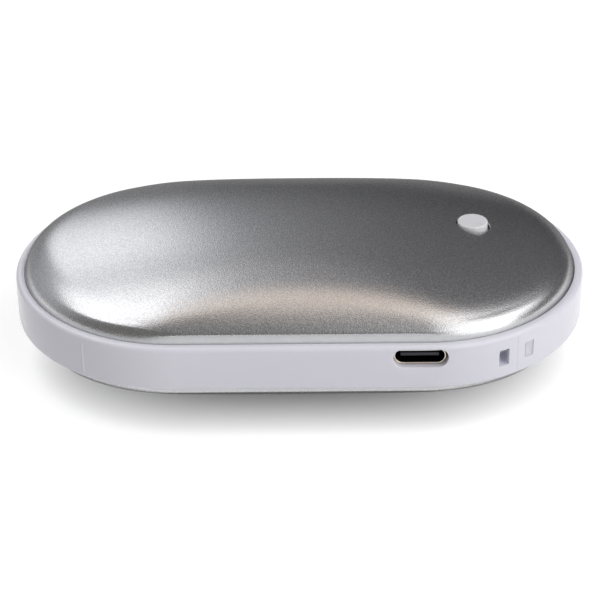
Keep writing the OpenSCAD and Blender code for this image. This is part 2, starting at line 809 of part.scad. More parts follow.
module power_transistors() color([0.12, 0.12, 0.13]) on_table() {
    for (y = [5 - board_half_w, board_half_w - 8.4])
        translate([button_x + 0.4, y, board_top]) cube(transistor);
}

capacitor = [1.2, 2, 0.9];
capacitor_pitch = 2.2;

module board_capacitors() color([0.75, 0.62, 0.45]) on_table() {
    for (i = [0 : 3])
        translate([case_l / 2 - 16 + i * capacitor_pitch, board_half_w - 5, board_top]) cube(capacitor);
    for (i = [0 : 2])
        translate([case_l / 2 - 8.6, -5 + i * capacitor_pitch, board_top])
            cube([capacitor[1], capacitor[0], capacitor[2]]);
}

sensor_x = film_x1 - 1.4;
sensor_top = crown_height(sensor_x + 1.2, 0.8, shell_t + film_t + track_t) - shell_t - film_t - track_t - 0.05;

module temperature_sensor() color([0.55, 0.3, 0.2]) on_table() {
    translate([sensor_x - 1.2, -0.8, sensor_top - 1.2]) cube([2.4, 1.6, 1.2]);
}

// Round wire along a path
module wire(path, r) {
    last = len(path) - 1;
    side = [0.37, 0.85, 0.37];
    points = [
        for (i = [0 : last])
            let (t = unit(path[min(i + 1, last)] - path[max(i - 1, 0)]))
            let (n = unit(cross(t, side)))
            let (b = cross(t, n))
            for (j = [0 : RING - 1]) path[i] + r * (cos(360 * j / RING) * n + sin(360 * j / RING) * b)
    ];
    walls = [
        for (i = [0 : last - 1], j = [0 : RING - 1])
            let (k = (j + 1) % RING)
            [(i + 1) * RING + j, (i + 1) * RING + k, i * RING + k, i * RING + j]
    ];
    caps = [[for (j = [0 : RING - 1]) j], [for (j = [RING - 1 : -1 : 0]) last * RING + j]];
    polyhedron(points = points, faces = concat(walls, caps));
}

module sensor_leads() color([0.9, 0.9, 0.9]) on_table() {
    drop_x = cell_x1 + 1.4;
    for (side = [-1, 1])
        wire(smooth(straight_ends([
            [sensor_x + 1.2, side * 0.5, sensor_top - 0.6], [sensor_x + 1.7, side * 0.5, sensor_top - 0.6],
            [sensor_x + 3.4, side * 1.6, sensor_top - 1.3], [cell_x1 - 2.4, side * 4.2, cell_r + 0.2],
            [cell_x1 + 0.3, side * sensor_lead_y, cell_r - 0.2], [drop_x, side * sensor_lead_y, cell_r - 2.6],
            [drop_x, side * sensor_lead_y, bridge_z], [drop_x, side * sensor_lead_y, board_top]
        ]), 3), sensor_wire_r);
}

module positive_lead() color([0.75, 0.1, 0.1]) on_table() {
    x = cell_x1 + strip_t;
    wire(smooth(straight_ends([
        [x, cell_y, 2.9], [x + 0.5, cell_y, 2.9], [x + 1.3, cell_y, 2.4], [x + 1.6, cell_y, 1.4],
        [x + 1.6, cell_y, board_top]
    ]), 3), wire_r);
}

module negative_lead() color([0.1, 0.1, 0.1]) on_table() {
    valley_z = -3.15;
    end_at = cell_x1 + 1.6;
    wire(smooth(straight_ends([
        [fuse_x, -6.2, 0], [fuse_x - 0.8, -6.2, 0], [fuse_x - 1.5, -5, -1.6], [fuse_x - 0.9, -2, valley_z],
        [cell_x0 - 1, 0, valley_z - 0.3], [cell_x0 + 4, 0, valley_z], [0, 0, valley_z],
        [cell_x1 - 2, 0, valley_z], [end_at - 0.7, 0, valley_z], [end_at, 0, valley_z + 1],
        [end_at, 0, board_bottom]
    ]), 3), wire_r);
}

// Pair of leads from a heating track's solder pads to the board, on the side that up gives
module heater_leads(up) {
    pad_x = film_x1 - 2.2;
    pad_z = crown_height(pad_x, lead_y) - shell_t - film_t - track_t - thin_wire_r - 0.1;
    over_cell = sqrt(pow(cell_r + thin_wire_r + 2 * clear, 2) - pow(lead_y - cell_y, 2));
    drop_x = cell_x1 + 1.3;
    board_z = up > 0 ? board_top : -board_bottom;
    for (side = [-1, 1])
        wire([
            for (p = smooth(straight_ends([
                [pad_x, side * lead_y, pad_z], [pad_x + 2.4, side * lead_y, pad_z - 0.3],
                [cell_x1 - 1.4, side * lead_y, over_cell], [cell_x1 + 0.6, side * lead_y, over_cell - 0.7],
                [drop_x, side * lead_y, over_cell - 2.8], [drop_x, side * lead_y, bridge_z],
                [drop_x, side * lead_y, board_z]
            ]), 3)) [p[0], p[1], up * p[2]]
        ], thin_wire_r);
}

module top_heater_leads() color([0.85, 0.85, 0.2]) on_table() heater_leads(1);
module bottom_heater_leads() color([0.85, 0.85, 0.2]) on_table() heater_leads(-1);

top_shell();
bottom_shell();
middle_band();
power_button();
upper_carrier();
lower_carrier();
case_screws();
front_cell();
rear_cell();
front_cell_sleeve();
rear_cell_sleeve();
front_cell_insulator();
rear_cell_insulator();
positive_strip();
negative_strip();
thermal_fuse();
top_heater_film();
top_heater_track();
bottom_heater_film();
bottom_heater_track();
top_foam_pads();
bottom_foam_pads();
circuit_board();
board_screws();
socket_shell();
socket_tongue();
socket_contacts();
switch_base();
switch_cover();
switch_dome();
switch_plunger();
indicator_lamps();
power_inductor();
controller_chip();
chip_leads();
power_transistors();
board_capacitors();
temperature_sensor();
sensor_leads();
positive_lead();
negative_lead();
top_heater_leads();
bottom_heater_leads();
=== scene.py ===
"""Looks of the rechargeable hand warmer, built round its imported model.

The case is two domed aluminium half shells round a white plastic band. Lengths are in metres, in
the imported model's own frame: +X towards the button, -Y towards the charging socket, +Z up.
"""

import json
import logging
from dataclasses import dataclass
from enum import Enum
from functools import cache, reduce
from math import acos, asin, atan2, cos, hypot, pi, radians, sin, sqrt, tan

import bmesh
import bpy
from bmesh.types import BMEdge, BMesh, BMVert
from mathutils import Matrix, Vector


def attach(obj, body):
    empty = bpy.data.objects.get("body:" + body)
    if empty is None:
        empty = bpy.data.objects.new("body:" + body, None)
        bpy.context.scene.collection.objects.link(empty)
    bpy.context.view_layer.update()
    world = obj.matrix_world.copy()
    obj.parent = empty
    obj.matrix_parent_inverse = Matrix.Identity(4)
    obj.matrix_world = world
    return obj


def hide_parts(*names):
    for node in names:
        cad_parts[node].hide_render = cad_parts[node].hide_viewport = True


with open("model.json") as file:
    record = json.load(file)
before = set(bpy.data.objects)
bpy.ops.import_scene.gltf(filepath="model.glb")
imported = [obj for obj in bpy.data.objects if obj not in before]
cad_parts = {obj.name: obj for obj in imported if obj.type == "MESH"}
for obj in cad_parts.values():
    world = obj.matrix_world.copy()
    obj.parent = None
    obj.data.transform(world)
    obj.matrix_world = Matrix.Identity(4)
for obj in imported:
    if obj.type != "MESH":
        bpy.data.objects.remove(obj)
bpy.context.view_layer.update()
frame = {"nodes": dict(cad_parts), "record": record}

log = logging.getLogger("hand_warmer")

MM = 0.001
# Points that are closer together than this are merged, in a new mesh and in one that was cut.
MERGE = 1e-6
CUT_MERGE = 1e-7
# How far a cutter reaches out of the surface that it cuts.
CLEAR = 1 * MM
ROUND_STEPS = 96
UP = (0, 0, 1)
# The range that most values of a noise pattern lie in.
PATTERN = (0.3, 0.7)
# A mix node's inputs for its share and its two colours, and its output for their mix.
MIX_INPUTS = (0, 6, 7)
MIX_OUTPUT = 2

Points = list[tuple[float, float]]
Socket = bpy.types.NodeSocket


class Body(Enum):
    """The rigid bodies that a piece can ride on."""

    CASE = "case"
    BUTTON = "button"


class Side(Enum):
    """Which half of the case a shell is, as the sign of its dome's height."""

    TOP = 1
    BOTTOM = -1


# ---------------------------------------------------------------------------------------------
# Form of the case
# ---------------------------------------------------------------------------------------------


@dataclass(frozen=True)
class CaseForm:
    """Sizes of the case, and the curved surfaces that follow from them."""

    length: float = 102 * MM
    width: float = 59 * MM
    band_height: float = 8.4 * MM
    dome_height: float = 10 * MM
    lip_width: float = 1.6 * MM
    crown_length_radius: float = 190 * MM
    crown_width_radius: float = 68 * MM
    edge_radius: float = 2 * MM
    shoulder_radius: float = 30 * MM
    edge_turn: float = radians(48)
    shoulder_turn: float = radians(68)
    skirt_height: float = 0.3 * MM
    rest_flat: float = 0.25 * MM
    seat_depth: float = 1.6 * MM
    blend: float = 1.0 * MM

    @property
    def end_radius(self) -> float:
        """Radius of the outline's round ends."""
        return self.width / 2

    @property
    def end_x(self) -> float:
        """Distance of each round end's centre from the middle."""
        return self.length / 2 - self.end_radius

    @property
    def rim(self) -> float:
        """Height of the band's upper edge above the band's middle."""
        return self.band_height / 2

    @property
    def middle(self) -> float:
        """Height of the band's middle above the surface that the case rests on."""
        return self.rim + self.dome_height - self.rest_flat

    @property
    def skirt_radius(self) -> float:
        """Distance of the metal's skirt from the outline's middle line."""
        return self.end_radius - self.lip_width

    @property
    def edge_centre(self) -> tuple[float, float]:
        """Centre of the edge's arc in the section."""
        return self.skirt_radius - self.edge_radius, self.rim + self.skirt_height

    @property
    def shoulder_centre(self) -> tuple[float, float]:
        """Centre of the shoulder's arc in the section.

        Returns:
            Its distance out and its height, in metres.
        """
        out, up = self.edge_centre
        reach = self.shoulder_radius - self.edge_radius
        return out - reach * cos(self.edge_turn), up - reach * sin(self.edge_turn)

    def crown(self, x: float, y: float) -> float:
        """Height of the doubly curved crown above the band's middle.

        Args:
            x: place along the case.
            y: place across the case.

        Returns:
            The height, in metres.
        """
        across = sqrt(self.crown_width_radius**2 - y**2)
        reach = self.crown_length_radius - self.crown_width_radius + across
        top = self.rim + self.dome_height
        return top - self.crown_length_radius + sqrt(reach**2 - x**2)

    def shoulder(self, out: float) -> float:
        """Height of the edge and shoulder above the band's middle.

        Args:
            out: distance from the outline's middle line.

        Returns:
            The height, in metres.
        """
        edge, shoulder = self.edge_centre, self.shoulder_centre
        turn, last = self.edge_turn, self.shoulder_turn
        if out > edge[0] + self.edge_radius * cos(turn):
            return edge[1] + sqrt(max(self.edge_radius**2 - (out - edge[0]) ** 2, 0))
        start = shoulder[0] + self.shoulder_radius * cos(last)
        if out > start:
            return shoulder[1] + sqrt(self.shoulder_radius**2 - (out - shoulder[0]) ** 2)
        return shoulder[1] + self.shoulder_radius * sin(last) + (start - out) / tan(last)

    def outward(self, x: float, y: float) -> float:
        """Distance of a point from the straight middle line of the oval outline."""
        return hypot(max(abs(x) - self.end_x, 0), y)

    def dome(self, x: float, y: float) -> float:
        """Height of the dome, with the meeting of crown and shoulder blended.

        Args:
            x: place along the case.
            y: place across the case.

        Returns:
            The height above the band's middle, in metres.
        """
        low, high = self.shoulder(self.outward(x, y)), self.crown(x, y)
        share = max(self.blend - abs(low - high), 0) / self.blend
        return min(low, high) - share * share * self.blend / 4


FORM = CaseForm()


# ---------------------------------------------------------------------------------------------
# Mesh helpers
# ---------------------------------------------------------------------------------------------


def everything(mesh: BMesh) -> list:
    """All points, edges and faces of a mesh."""
    return mesh.verts[:] + mesh.edges[:] + mesh.faces[:]


def edges_at(verts: list[BMVert]) -> list[BMEdge]:
    """The edges that end at any of the points, in the same order each run."""
    return list(dict.fromkeys(edge for vert in verts for edge in vert.link_edges))


def settle(mesh: BMesh) -> None:
    """Merges doubled points and turns the faces outwards."""
    bmesh.ops.remove_doubles(mesh, verts=mesh.verts, dist=MERGE)
    bmesh.ops.recalc_face_normals(mesh, faces=mesh.faces)


def arc(
    centre: tuple[float, float], radius: float, start: float, end: float, steps: int
) -> Points:
    """Points of an arc, whose angles turn from the section's first axis to its second."""
    angles = [start + (end - start) * step / steps for step in range(steps + 1)]
    return [(centre[0] + radius * cos(a), centre[1] + radius * sin(a)) for a in angles]


def chain(mesh: BMesh, points: list[Vector], closed: bool = False) -> list[BMEdge]:
    """Joins points with edges.

    Args:
        mesh: the mesh that takes them.
        points: the places of the points, in order.
        closed: whether the last one joins the first.

    Returns:
        The new edges.
    """
    verts = [mesh.verts.new(p) for p in points]
    pairs = list(zip(verts, verts[1:])) + ([(verts[-1], verts[0])] if closed else [])
    return [mesh.edges.new(pair) for pair in pairs]


def sweep_oval(mesh: BMesh, section: Points, closed: bool, straight: int, turn: int) -> None:
    """Sweeps a half section round the oval outline: one quarter, mirrored twice.

    Args:
        mesh: the empty mesh that takes the surface.
        section: distance from the middle line and height of each point.
        closed: whether the section is a closed outline.
        straight: steps along the straight part of a quarter.
        turn: steps round the curved part of a quarter.
    """
    start = chain(mesh, [Vector((0, -out, up)) for out, up in section], closed)
    step = Vector((FORM.end_x / straight, 0, 0))
    run = bmesh.ops.spin(
        mesh, geom=start, cent=(0, 0, 0), axis=UP, dvec=step, angle=0, steps=straight
    )["geom_last"]
    bmesh.ops.spin(mesh, geom=run, cent=(FORM.end_x, 0, 0), axis=UP, angle=pi / 2, steps=turn)
    for axis in ("X", "Y"):
        bmesh.ops.remove_doubles(mesh, verts=mesh.verts, dist=MERGE)
        bmesh.ops.mirror(
            mesh, geom=everything(mesh), matrix=Matrix(), merge_dist=MERGE, axis=axis
        )
    settle(mesh)


def lathe(mesh: BMesh, section: Points, at: Vector) -> None:
    """Turns a closed half section round an upright axis.

    Args:
        mesh: the mesh that takes the solid.
        section: radius and height of each point, from the axis round to the axis.
        at: foot of the axis.
    """
    edges = chain(mesh, [at + Vector((out, 0, up)) for out, up in section])
    bmesh.ops.spin(
        mesh, geom=edges, cent=at, axis=UP, angle=2 * pi, steps=ROUND_STEPS, use_merge=True
    )
    settle(mesh)


def loft(mesh: BMesh, loops: list[list[BMEdge]]) -> None:
    """Bridges each loop to the next one."""
    for one, other in zip(loops, loops[1:]):
        bmesh.ops.bridge_loops(mesh, edges=one + other)


def cap(mesh: BMesh, loops: list[list[BMEdge]]) -> None:
    """Closes the first and the last loop with a face each, and turns the faces outwards.

    Args:
        mesh: the mesh that holds the loops.
        loops: the loops' edges, in order.
    """
    for loop in (loops[0], loops[-1]):
        bmesh.ops.contextual_create(mesh, geom=loop)
    bmesh.ops.recalc_face_normals(mesh, faces=mesh.faces)


def block(mesh: BMesh, low: Vector, high: Vector) -> list[BMVert]:
    """Adds a box between two corners.

    Args:
        mesh: the mesh that takes the box.
        low: its lowest corner.
        high: its highest corner.

    Returns:
        The box's corners.
    """
    size = high - low
    place = Matrix.Translation((low + high) / 2) @ Matrix.Diagonal((*size, 1))
    return bmesh.ops.create_cube(mesh, size=1, matrix=place)["verts"]


def soften(mesh: BMesh, width: float, segments: int = 2, sharper_than: float = 30) -> None:
    """Rounds every edge that turns more sharply than an angle.

    Args:
        mesh: the mesh.
        width: how far the rounding reaches from each edge.
        segments: number of steps in it.
        sharper_than: the angle, in degrees.
    """
    limit = radians(sharper_than)
    sharp = [e for e in mesh.edges if len(e.link_faces) == 2 and e.calc_face_angle(0) > limit]
    bmesh.ops.bevel(
        mesh,
        geom=sharp,
        offset=width,
        offset_type="OFFSET",
        affect="EDGES",
        segments=segments,
        profile=0.5,
        material=-1,
        clamp_overlap=True,
    )


def into_scene(name: str, data: bpy.types.ID) -> bpy.types.Object:
    """Makes an object and puts it in the scene.

    Args:
        name: the object's name.
        data: its mesh, lamp or camera.

    Returns:
        The new object.
    """
    made = bpy.data.objects.new(name, data)
    bpy.context.scene.collection.objects.link(made)
    return made


def piece_from(mesh: BMesh, name: str, crease: float = 35) -> bpy.types.Object:
    """Makes an object of a finished mesh, smooth apart from its sharp edges.

    Args:
        mesh: the finished mesh, which is freed.
        name: the piece's name.
        crease: angle in degrees above which an edge stays sharp.

    Returns:
        The new object.
    """
    for face in mesh.faces:
        face.smooth = True
    for edge in mesh.edges:
        edge.smooth = edge.calc_face_angle(0) < radians(crease)
    data = bpy.data.meshes.new(name)
    mesh.to_mesh(data)
    mesh.free()
    return into_scene(name, data)


def carve(solid: BMesh, added: list[BMesh], cutters: list[BMesh]) -> BMesh:
    """Joins closed meshes to a closed mesh, then cuts others out of it.

    Args:
        solid: the mesh that is shaped, which is freed.
        added: the meshes that are joined to it, which are freed.
        cutters: the meshes that are taken away, which are freed.

    Returns:
        What is left, as a new mesh.
    """
    body = piece_from(solid, "uncut")
    jobs = [("UNION", mesh) for mesh in added] + [("DIFFERENCE", mesh) for mesh in cutters]
    tools = []
    for number, (operation, mesh) in enumerate(jobs):
        tools.append(piece_from(mesh, f"tool_{number}"))
        cut = body.modifiers.new("cut", "BOOLEAN")
        cut.operation, cut.solver, cut.object = operation, "EXACT", tools[-1]
    bpy.context.view_layer.update()
    evaluated = body.evaluated_get(bpy.context.evaluated_depsgraph_get())
    left = bmesh.new()
    left.from_mesh(evaluated.to_mesh())
    evaluated.to_mesh_clear()
    for gone in [body, *tools]:
        bpy.data.meshes.remove(gone.data)
    bmesh.ops.remove_doubles(left, verts=left.verts, dist=CUT_MERGE)
    return left


# ---------------------------------------------------------------------------------------------
# Finishes
# ---------------------------------------------------------------------------------------------


def input_named(node: bpy.types.Node, key: str) -> Socket | None:
    """Finds a node's input by its name in lower case, with underscores for spaces."""
    return next((s for s in node.inputs if s.name.lower().replace(" ", "_") == key), None)


def grey(level: float) -> tuple:
    """A grey of a given level, as a colour input takes it."""
    return (level, level, level, 1)


class NodeTree:
    """A node tree, with short ways to add to it."""

    def __init__(self, tree: bpy.types.NodeTree) -> None:
        """Keeps the tree that is added to."""
        self.tree = tree

    def add(self, kind: str, **settings: object) -> bpy.types.Node:
        """Adds a node and sets its properties and inputs by name.

        Args:
            kind: the node's type.
            settings: properties, or input values with their names in lower case.

        Returns:
            The new node.
        """
        node = self.tree.nodes.new(kind)
        for key, value in settings.items():
            socket = input_named(node, key)
            if socket is None:
                setattr(node, key, value)
            else:
                socket.default_value = value
        return node

    def join(self, source: Socket | float | tuple, target: Socket) -> None:
        """Links an input to another node's output, or sets it.

        Args:
            source: the output, or a number or colour.
            target: the input.
        """
        if isinstance(source, Socket):
            self.tree.links.new(source, target)
        else:
            target.default_value = (*source, 1) if isinstance(source, tuple) else source

    def math(self, operation: str, *inputs: Socket | float) -> Socket:
        """Adds a sum of sockets and numbers.

        Args:
            operation: the kind of sum.
            inputs: its inputs, in order.

        Returns:
            The socket that holds the result.
        """
        node = self.add("ShaderNodeMath", operation=operation)
        for source, target in zip(inputs, node.inputs):
            self.join(source, target)
        return node.outputs[0]

    def ramp(self, value: Socket, start: float, end: float) -> Socket:
        """Adds a smooth step from 0 to 1.

        Args:
            value: what it follows.
            start: the value at which it starts.
            end: the value at which it ends.

        Returns:
            The socket that holds the step.
        """
        node = self.add(
            "ShaderNodeMapRange", interpolation_type="SMOOTHSTEP", from_min=start, from_max=end
        )
        self.join(value, node.inputs["Value"])
        return node.outputs["Result"]

    def mix(self, share: Socket, *colours: Socket | tuple) -> Socket:
        """Adds a mix of two colours.

        Args:
            share: how much of the second one there is.
            colours: both colours.

        Returns:
            The socket that holds the mixed colour.
        """
        node = self.add("ShaderNodeMix", data_type="RGBA")
        for source, index in zip((share, *colours), MIX_INPUTS):
            self.join(source, node.inputs[index])
        return node.outputs[MIX_OUTPUT]


class Nodes(NodeTree):
    """A material's node tree."""

    def __init__(self, name: str) -> None:
        """Starts a new material with a principled shader.

        Args:
            name: the material's name.
        """
        self.material = bpy.data.materials.new(name)
        self.material.use_nodes = True
        super().__init__(self.material.node_tree)
        self.shader = self.tree.nodes["Principled BSDF"]
        self.coordinates = self.add("ShaderNodeTexCoord").outputs["Object"]

    def set(self, **values: object) -> None:
        """Sets the shader's own inputs by their names in lower case."""
        for key, value in values.items():
            input_named(self.shader, key).default_value = value

    def noise(self, scale: float, detail: float = 2, stretch: tuple = (1, 1, 1)) -> Socket:
        """A noise pattern on the object's own coordinates.

        Args:
            scale: how many bumps there are per metre.
            detail: number of finer layers.
            stretch: scale along each axis.

        Returns:
            The socket that holds its value.
        """
        place = self.add("ShaderNodeMapping", scale=stretch)
        node = self.add("ShaderNodeTexNoise", scale=scale, detail=detail)
        self.join(self.coordinates, place.inputs["Vector"])
        self.join(place.outputs["Vector"], node.inputs["Vector"])
        return node.outputs["Fac"]

    def grains(self, scale: float) -> tuple[Socket, Socket]:
        """A pattern of rounded cells on the object's own coordinates.

        Args:
            scale: how many cells there are per metre.

        Returns:
            The sockets that hold the distance from each cell's middle, and a value for each cell.
        """
        node = self.add("ShaderNodeTexVoronoi", scale=scale)
        self.join(self.coordinates, node.inputs["Vector"])
        parts = self.add("ShaderNodeSeparateColor")
        self.join(node.outputs["Color"], parts.inputs["Color"])
        return node.outputs["Distance"], parts.outputs["Red"]

    def tint(self, value: Socket, colour: tuple, shades: tuple[float, float]) -> None:
        """Makes the shader's colour lighter and darker with a pattern.

        Args:
            value: the pattern.
            colour: the colour.
            shades: what the colour is multiplied by at the pattern's low and high values.
        """
        ramp = self.add("ShaderNodeValToRGB")
        for element, place, shade in zip(ramp.color_ramp.elements, PATTERN, shades):
            element.position = place
            element.color = (*(min(c * shade, 1.0) for c in colour), 1)
        self.join(value, ramp.inputs["Fac"])
        self.join(ramp.outputs["Color"], self.shader.inputs["Base Color"])

    def roughness(self, value: Socket, low: float, high: float) -> None:
        """Varies the shader's roughness between two values with a pattern.

        Args:
            value: the pattern.
            low: roughness at the pattern's low values.
            high: roughness at its high values.
        """
        node = self.add(
            "ShaderNodeMapRange", from_min=PATTERN[0], from_max=PATTERN[1], to_min=low, to_max=high
        )
        self.join(value, node.inputs["Value"])
        self.join(node.outputs["Result"], self.shader.inputs["Roughness"])

    def bump(self, height: Socket, depth: float) -> None:
        """Adds relief to the surface.

        Args:
            height: the relief's pattern.
            depth: its depth, in metres.
        """
        node = self.add("ShaderNodeBump", strength=1.0, distance=depth)
        self.join(height, node.inputs["Height"])
        self.join(node.outputs["Normal"], self.shader.inputs["Normal"])


@dataclass(frozen=True)
class BlastedMetal:
    """Aluminium blasted with fine grit and anodised clear."""

    name: str
    colour: tuple = (0.62, 0.62, 0.628)
    roughness: float = 0.26
    edge_tint: float = 0.2
    grain: float = 7000
    sparkle: float = 0.11
    depth: float = 0.016 * MM
    patch_scale: float = 0.4
    patchiness: float = 0.03
    pit_scale: float = 0.6

    def material(self) -> bpy.types.Material:
        """Builds the material.

        Returns:
            The new material.
        """
        n = Nodes(self.name)
        n.set(metallic=1.0, specular_tint=grey(self.edge_tint))
        n.tint(n.grains(self.grain)[1], self.colour, (1 - self.sparkle, 1 + self.sparkle))
        patches = n.noise(self.grain * self.patch_scale, detail=1)
        n.roughness(patches, self.roughness - self.patchiness, self.roughness + self.patchiness)
        n.bump(n.noise(self.grain * self.pit_scale, detail=1), self.depth)
        return n.material


@dataclass(frozen=True)
class Plastic:
    """Moulded plastic with a faint texture from its mould."""

    name: str
    colour: tuple
    roughness: float = 0.3
    grain: float = 2400
    depth: float = 0.0003 * MM
    glow: float = 0.0
    glow_depth: float = 1.0 * MM
    glow_reach: tuple = (1.0, 0.9, 0.8)
    shine: float = 0.5
    cloud_scale: float = 60
    shades: tuple = (0.99, 1.01)
    patchiness: float = 0.02

    def material(self) -> bpy.types.Material:
        """Builds the material.

        Returns:
            The new material.
        """
        n = Nodes(self.name)
        n.tint(n.noise(self.cloud_scale), self.colour, self.shades)
        fine = n.noise(self.grain, detail=1)
        n.roughness(fine, self.roughness - self.patchiness, self.roughness + self.patchiness)
        n.bump(fine, self.depth)
        n.set(specular_ior_level=self.shine)
        if self.glow:
            n.set(subsurface_weight=self.glow, subsurface_radius=self.glow_reach)
            n.set(subsurface_scale=self.glow_depth)
        return n.material


@dataclass(frozen=True)
class PlatedMetal:
    """Sheet metal with a thin plating, drawn in one direction."""

    name: str
    colour: tuple
    roughness: float = 0.3
    stretch: tuple = (1, 1, 1)
    grain: float = 1500
    cloud_scale: float = 300
    shades: tuple = (0.93, 1.05)
    smoother: float = 0.07
    rougher: float = 0.08
    depth: float = 0.002 * MM

    def material(self) -> bpy.types.Material:
        """Builds the material.

        Returns:
            The new material.
        """
        n = Nodes(self.name)
        n.set(metallic=1.0)
        streaks = n.noise(self.grain, stretch=self.stretch)
        n.tint(n.noise(self.cloud_scale), self.colour, self.shades)
        n.roughness(streaks, self.roughness - self.smoother, self.roughness + self.rougher)
        n.bump(streaks, self.depth)
        return n.material


@dataclass(frozen=True)
class Laminate:
    """Circuit board laminate: woven glass under a coloured lacquer."""

    name: str
    colour: tuple
    weave: float = 2200 / 6
    unevenness: float = 0.6
    shades: tuple = (0.85, 1.15)
    depth: float = 0.004 * MM
    lacquer: float = 0.4
    lacquer_roughness: float = 0.15
    cloud_scale: float = 900
    roughness: tuple = (0.3, 0.42)

    def material(self) -> bpy.types.Material:
        """Builds the material.

        Returns:
            The new material.
        """
        n = Nodes(self.name)
        wave = n.add("ShaderNodeTexWave", scale=self.weave, distortion=self.unevenness)
        n.join(n.coordinates, wave.inputs["Vector"])
        n.tint(wave.outputs["Fac"], self.colour, self.shades)
        n.set(coat_weight=self.lacquer, coat_roughness=self.lacquer_roughness)
        n.roughness(n.noise(self.cloud_scale), *self.roughness)
        n.bump(wave.outputs["Fac"], self.depth)
        return n.material


@dataclass(frozen=True)
class Foam:
    """Closed-cell foam."""

    name: str
    colour: tuple
    cells: float = 2600
    shades: tuple = (0.5, 1.4)
    roughness: float = 0.95
    depth: float = 0.12 * MM

    def material(self) -> bpy.types.Material:
        """Builds the material.

        Returns:
            The new material.
        """
        n = Nodes(self.name)
        cells, _ = n.grains(self.cells)
        n.tint(cells, self.colour, self.shades)
        n.set(roughness=self.roughness)
        n.bump(cells, self.depth)
        return n.material


BLASTED_ALUMINIUM = BlastedMetal("blasted_aluminium")
# Smooth, ungrained finish of the shell's trimmed wall, which is real; its colour darker than the
# blasted metal is painted shade along the wall.
TRIMMED_EDGE_PAINTED_SHADE = BlastedMetal(
    "trimmed_edge",
    colour=(0.53, 0.535, 0.55),
    roughness=0.34,
    edge_tint=0.5,
    grain=3000,
    sparkle=0.01,
    depth=0.0003 * MM,
)
BAND_PLASTIC = Plastic("white_plastic", (0.84, 0.834, 0.912), 0.19, glow=0.12, glow_depth=0.8 * MM)
BUTTON_PLASTIC = Plastic("button_plastic", (0.78, 0.777, 0.81), 0.3, glow=0.3, glow_depth=1.2 * MM)
SOCKET_STEEL = PlatedMetal("socket_steel", (0.72, 0.64, 0.53), 0.24, (1, 0.15, 1))
# Near-black finish without shine for the inner faces of the steel socket shell: painted shade in
# the mouth, where the shell is really bare steel.
SOCKET_PAINTED_SHADE = Plastic("socket_inside", (0.003, 0.003, 0.004), 0.9, shine=0.0)
SOCKET_PLASTIC = Plastic("socket_plastic", (0.012, 0.013, 0.02), 0.34)
PAD_FOAM = Foam("foam", (0.05, 0.05, 0.055))
INNER_FINISHES = {
    finish.name: finish
    for finish in (
        PlatedMetal("contact_gold", (0.85, 0.62, 0.25), 0.25),
        Plastic("carrier_plastic", (0.03, 0.03, 0.035), 0.5, 900, 0.02 * MM),
        PlatedMetal("zinc_steel", (0.55, 0.57, 0.6), 0.32),
        PlatedMetal("cell_can", (0.62, 0.63, 0.65), 0.28, (0.1, 1, 1)),
        PlatedMetal("can_steel", (0.66, 0.66, 0.67), 0.25),
        Plastic("shrink_sleeve", (0.02, 0.22, 0.4), 0.25, 700, 0.01 * MM),
        Plastic("insulating_paper", (0.75, 0.75, 0.7), 0.85, 1200, 0.03 * MM),
        PlatedMetal("nickel", (0.7, 0.68, 0.62), 0.3, (1, 0.1, 1)),
        Plastic("dark_resin", (0.025, 0.025, 0.028), 0.55, 1500, 0.012 * MM),
        Plastic("heater_film", (0.6, 0.28, 0.04), 0.2, 500, 0.01 * MM),
        PlatedMetal("heater_track", (0.6, 0.48, 0.4), 0.35, (0.1, 1, 1)),
        Laminate("board_laminate", (0.012, 0.14, 0.05)),
        Plastic("switch_plastic", (0.75, 0.75, 0.75), 0.4),
        Plastic("lamp_resin", (0.9, 0.8, 0.45), 0.15, glow=0.4),
        Plastic("ferrite", (0.09, 0.09, 0.1), 0.7, 2500, 0.03 * MM),
        Plastic("ceramic_tan", (0.45, 0.32, 0.19), 0.45),
        Plastic("sensor_epoxy", (0.3, 0.08, 0.03), 0.2, 600, 0.03 * MM),
        Plastic("white_wire", (0.75, 0.75, 0.75), 0.45, 900, 0.01 * MM),
        Plastic("red_wire", (0.5, 0.02, 0.015), 0.45, 900, 0.01 * MM),
        Plastic("black_wire", (0.015, 0.015, 0.015), 0.45, 900, 0.01 * MM),
        Plastic("yellow_wire", (0.65, 0.5, 0.04), 0.45, 900, 0.01 * MM),
    )
}

Finish = BlastedMetal | Plastic | PlatedMetal | Laminate | Foam


@cache
def material_of(finish: Finish) -> bpy.types.Material:
    """Builds a finish's material once, for all the pieces that have it."""
    return finish.material()


def finish_piece(
    piece: bpy.types.Object,
    finish: Finish,
    body: Body,
    *replaced: str,
    second: Finish | None = None,
) -> None:
    """Dresses a new piece and fixes it to its body.

    Args:
        piece: the new piece.
        finish: its finish, named after the record's material slot.
        body: the body that it rides on.
        replaced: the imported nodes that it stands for.
        second: the finish of its faces with the material index 1.
    """
    for part in (finish, second):
        if part:
            piece.data.materials.append(material_of(part))
    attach(piece, body.value)
    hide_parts(*replaced)
    log.info("%s: %d faces", piece.name, len(piece.data.polygons))


# ---------------------------------------------------------------------------------------------
# Sub-assemblies
# ---------------------------------------------------------------------------------------------


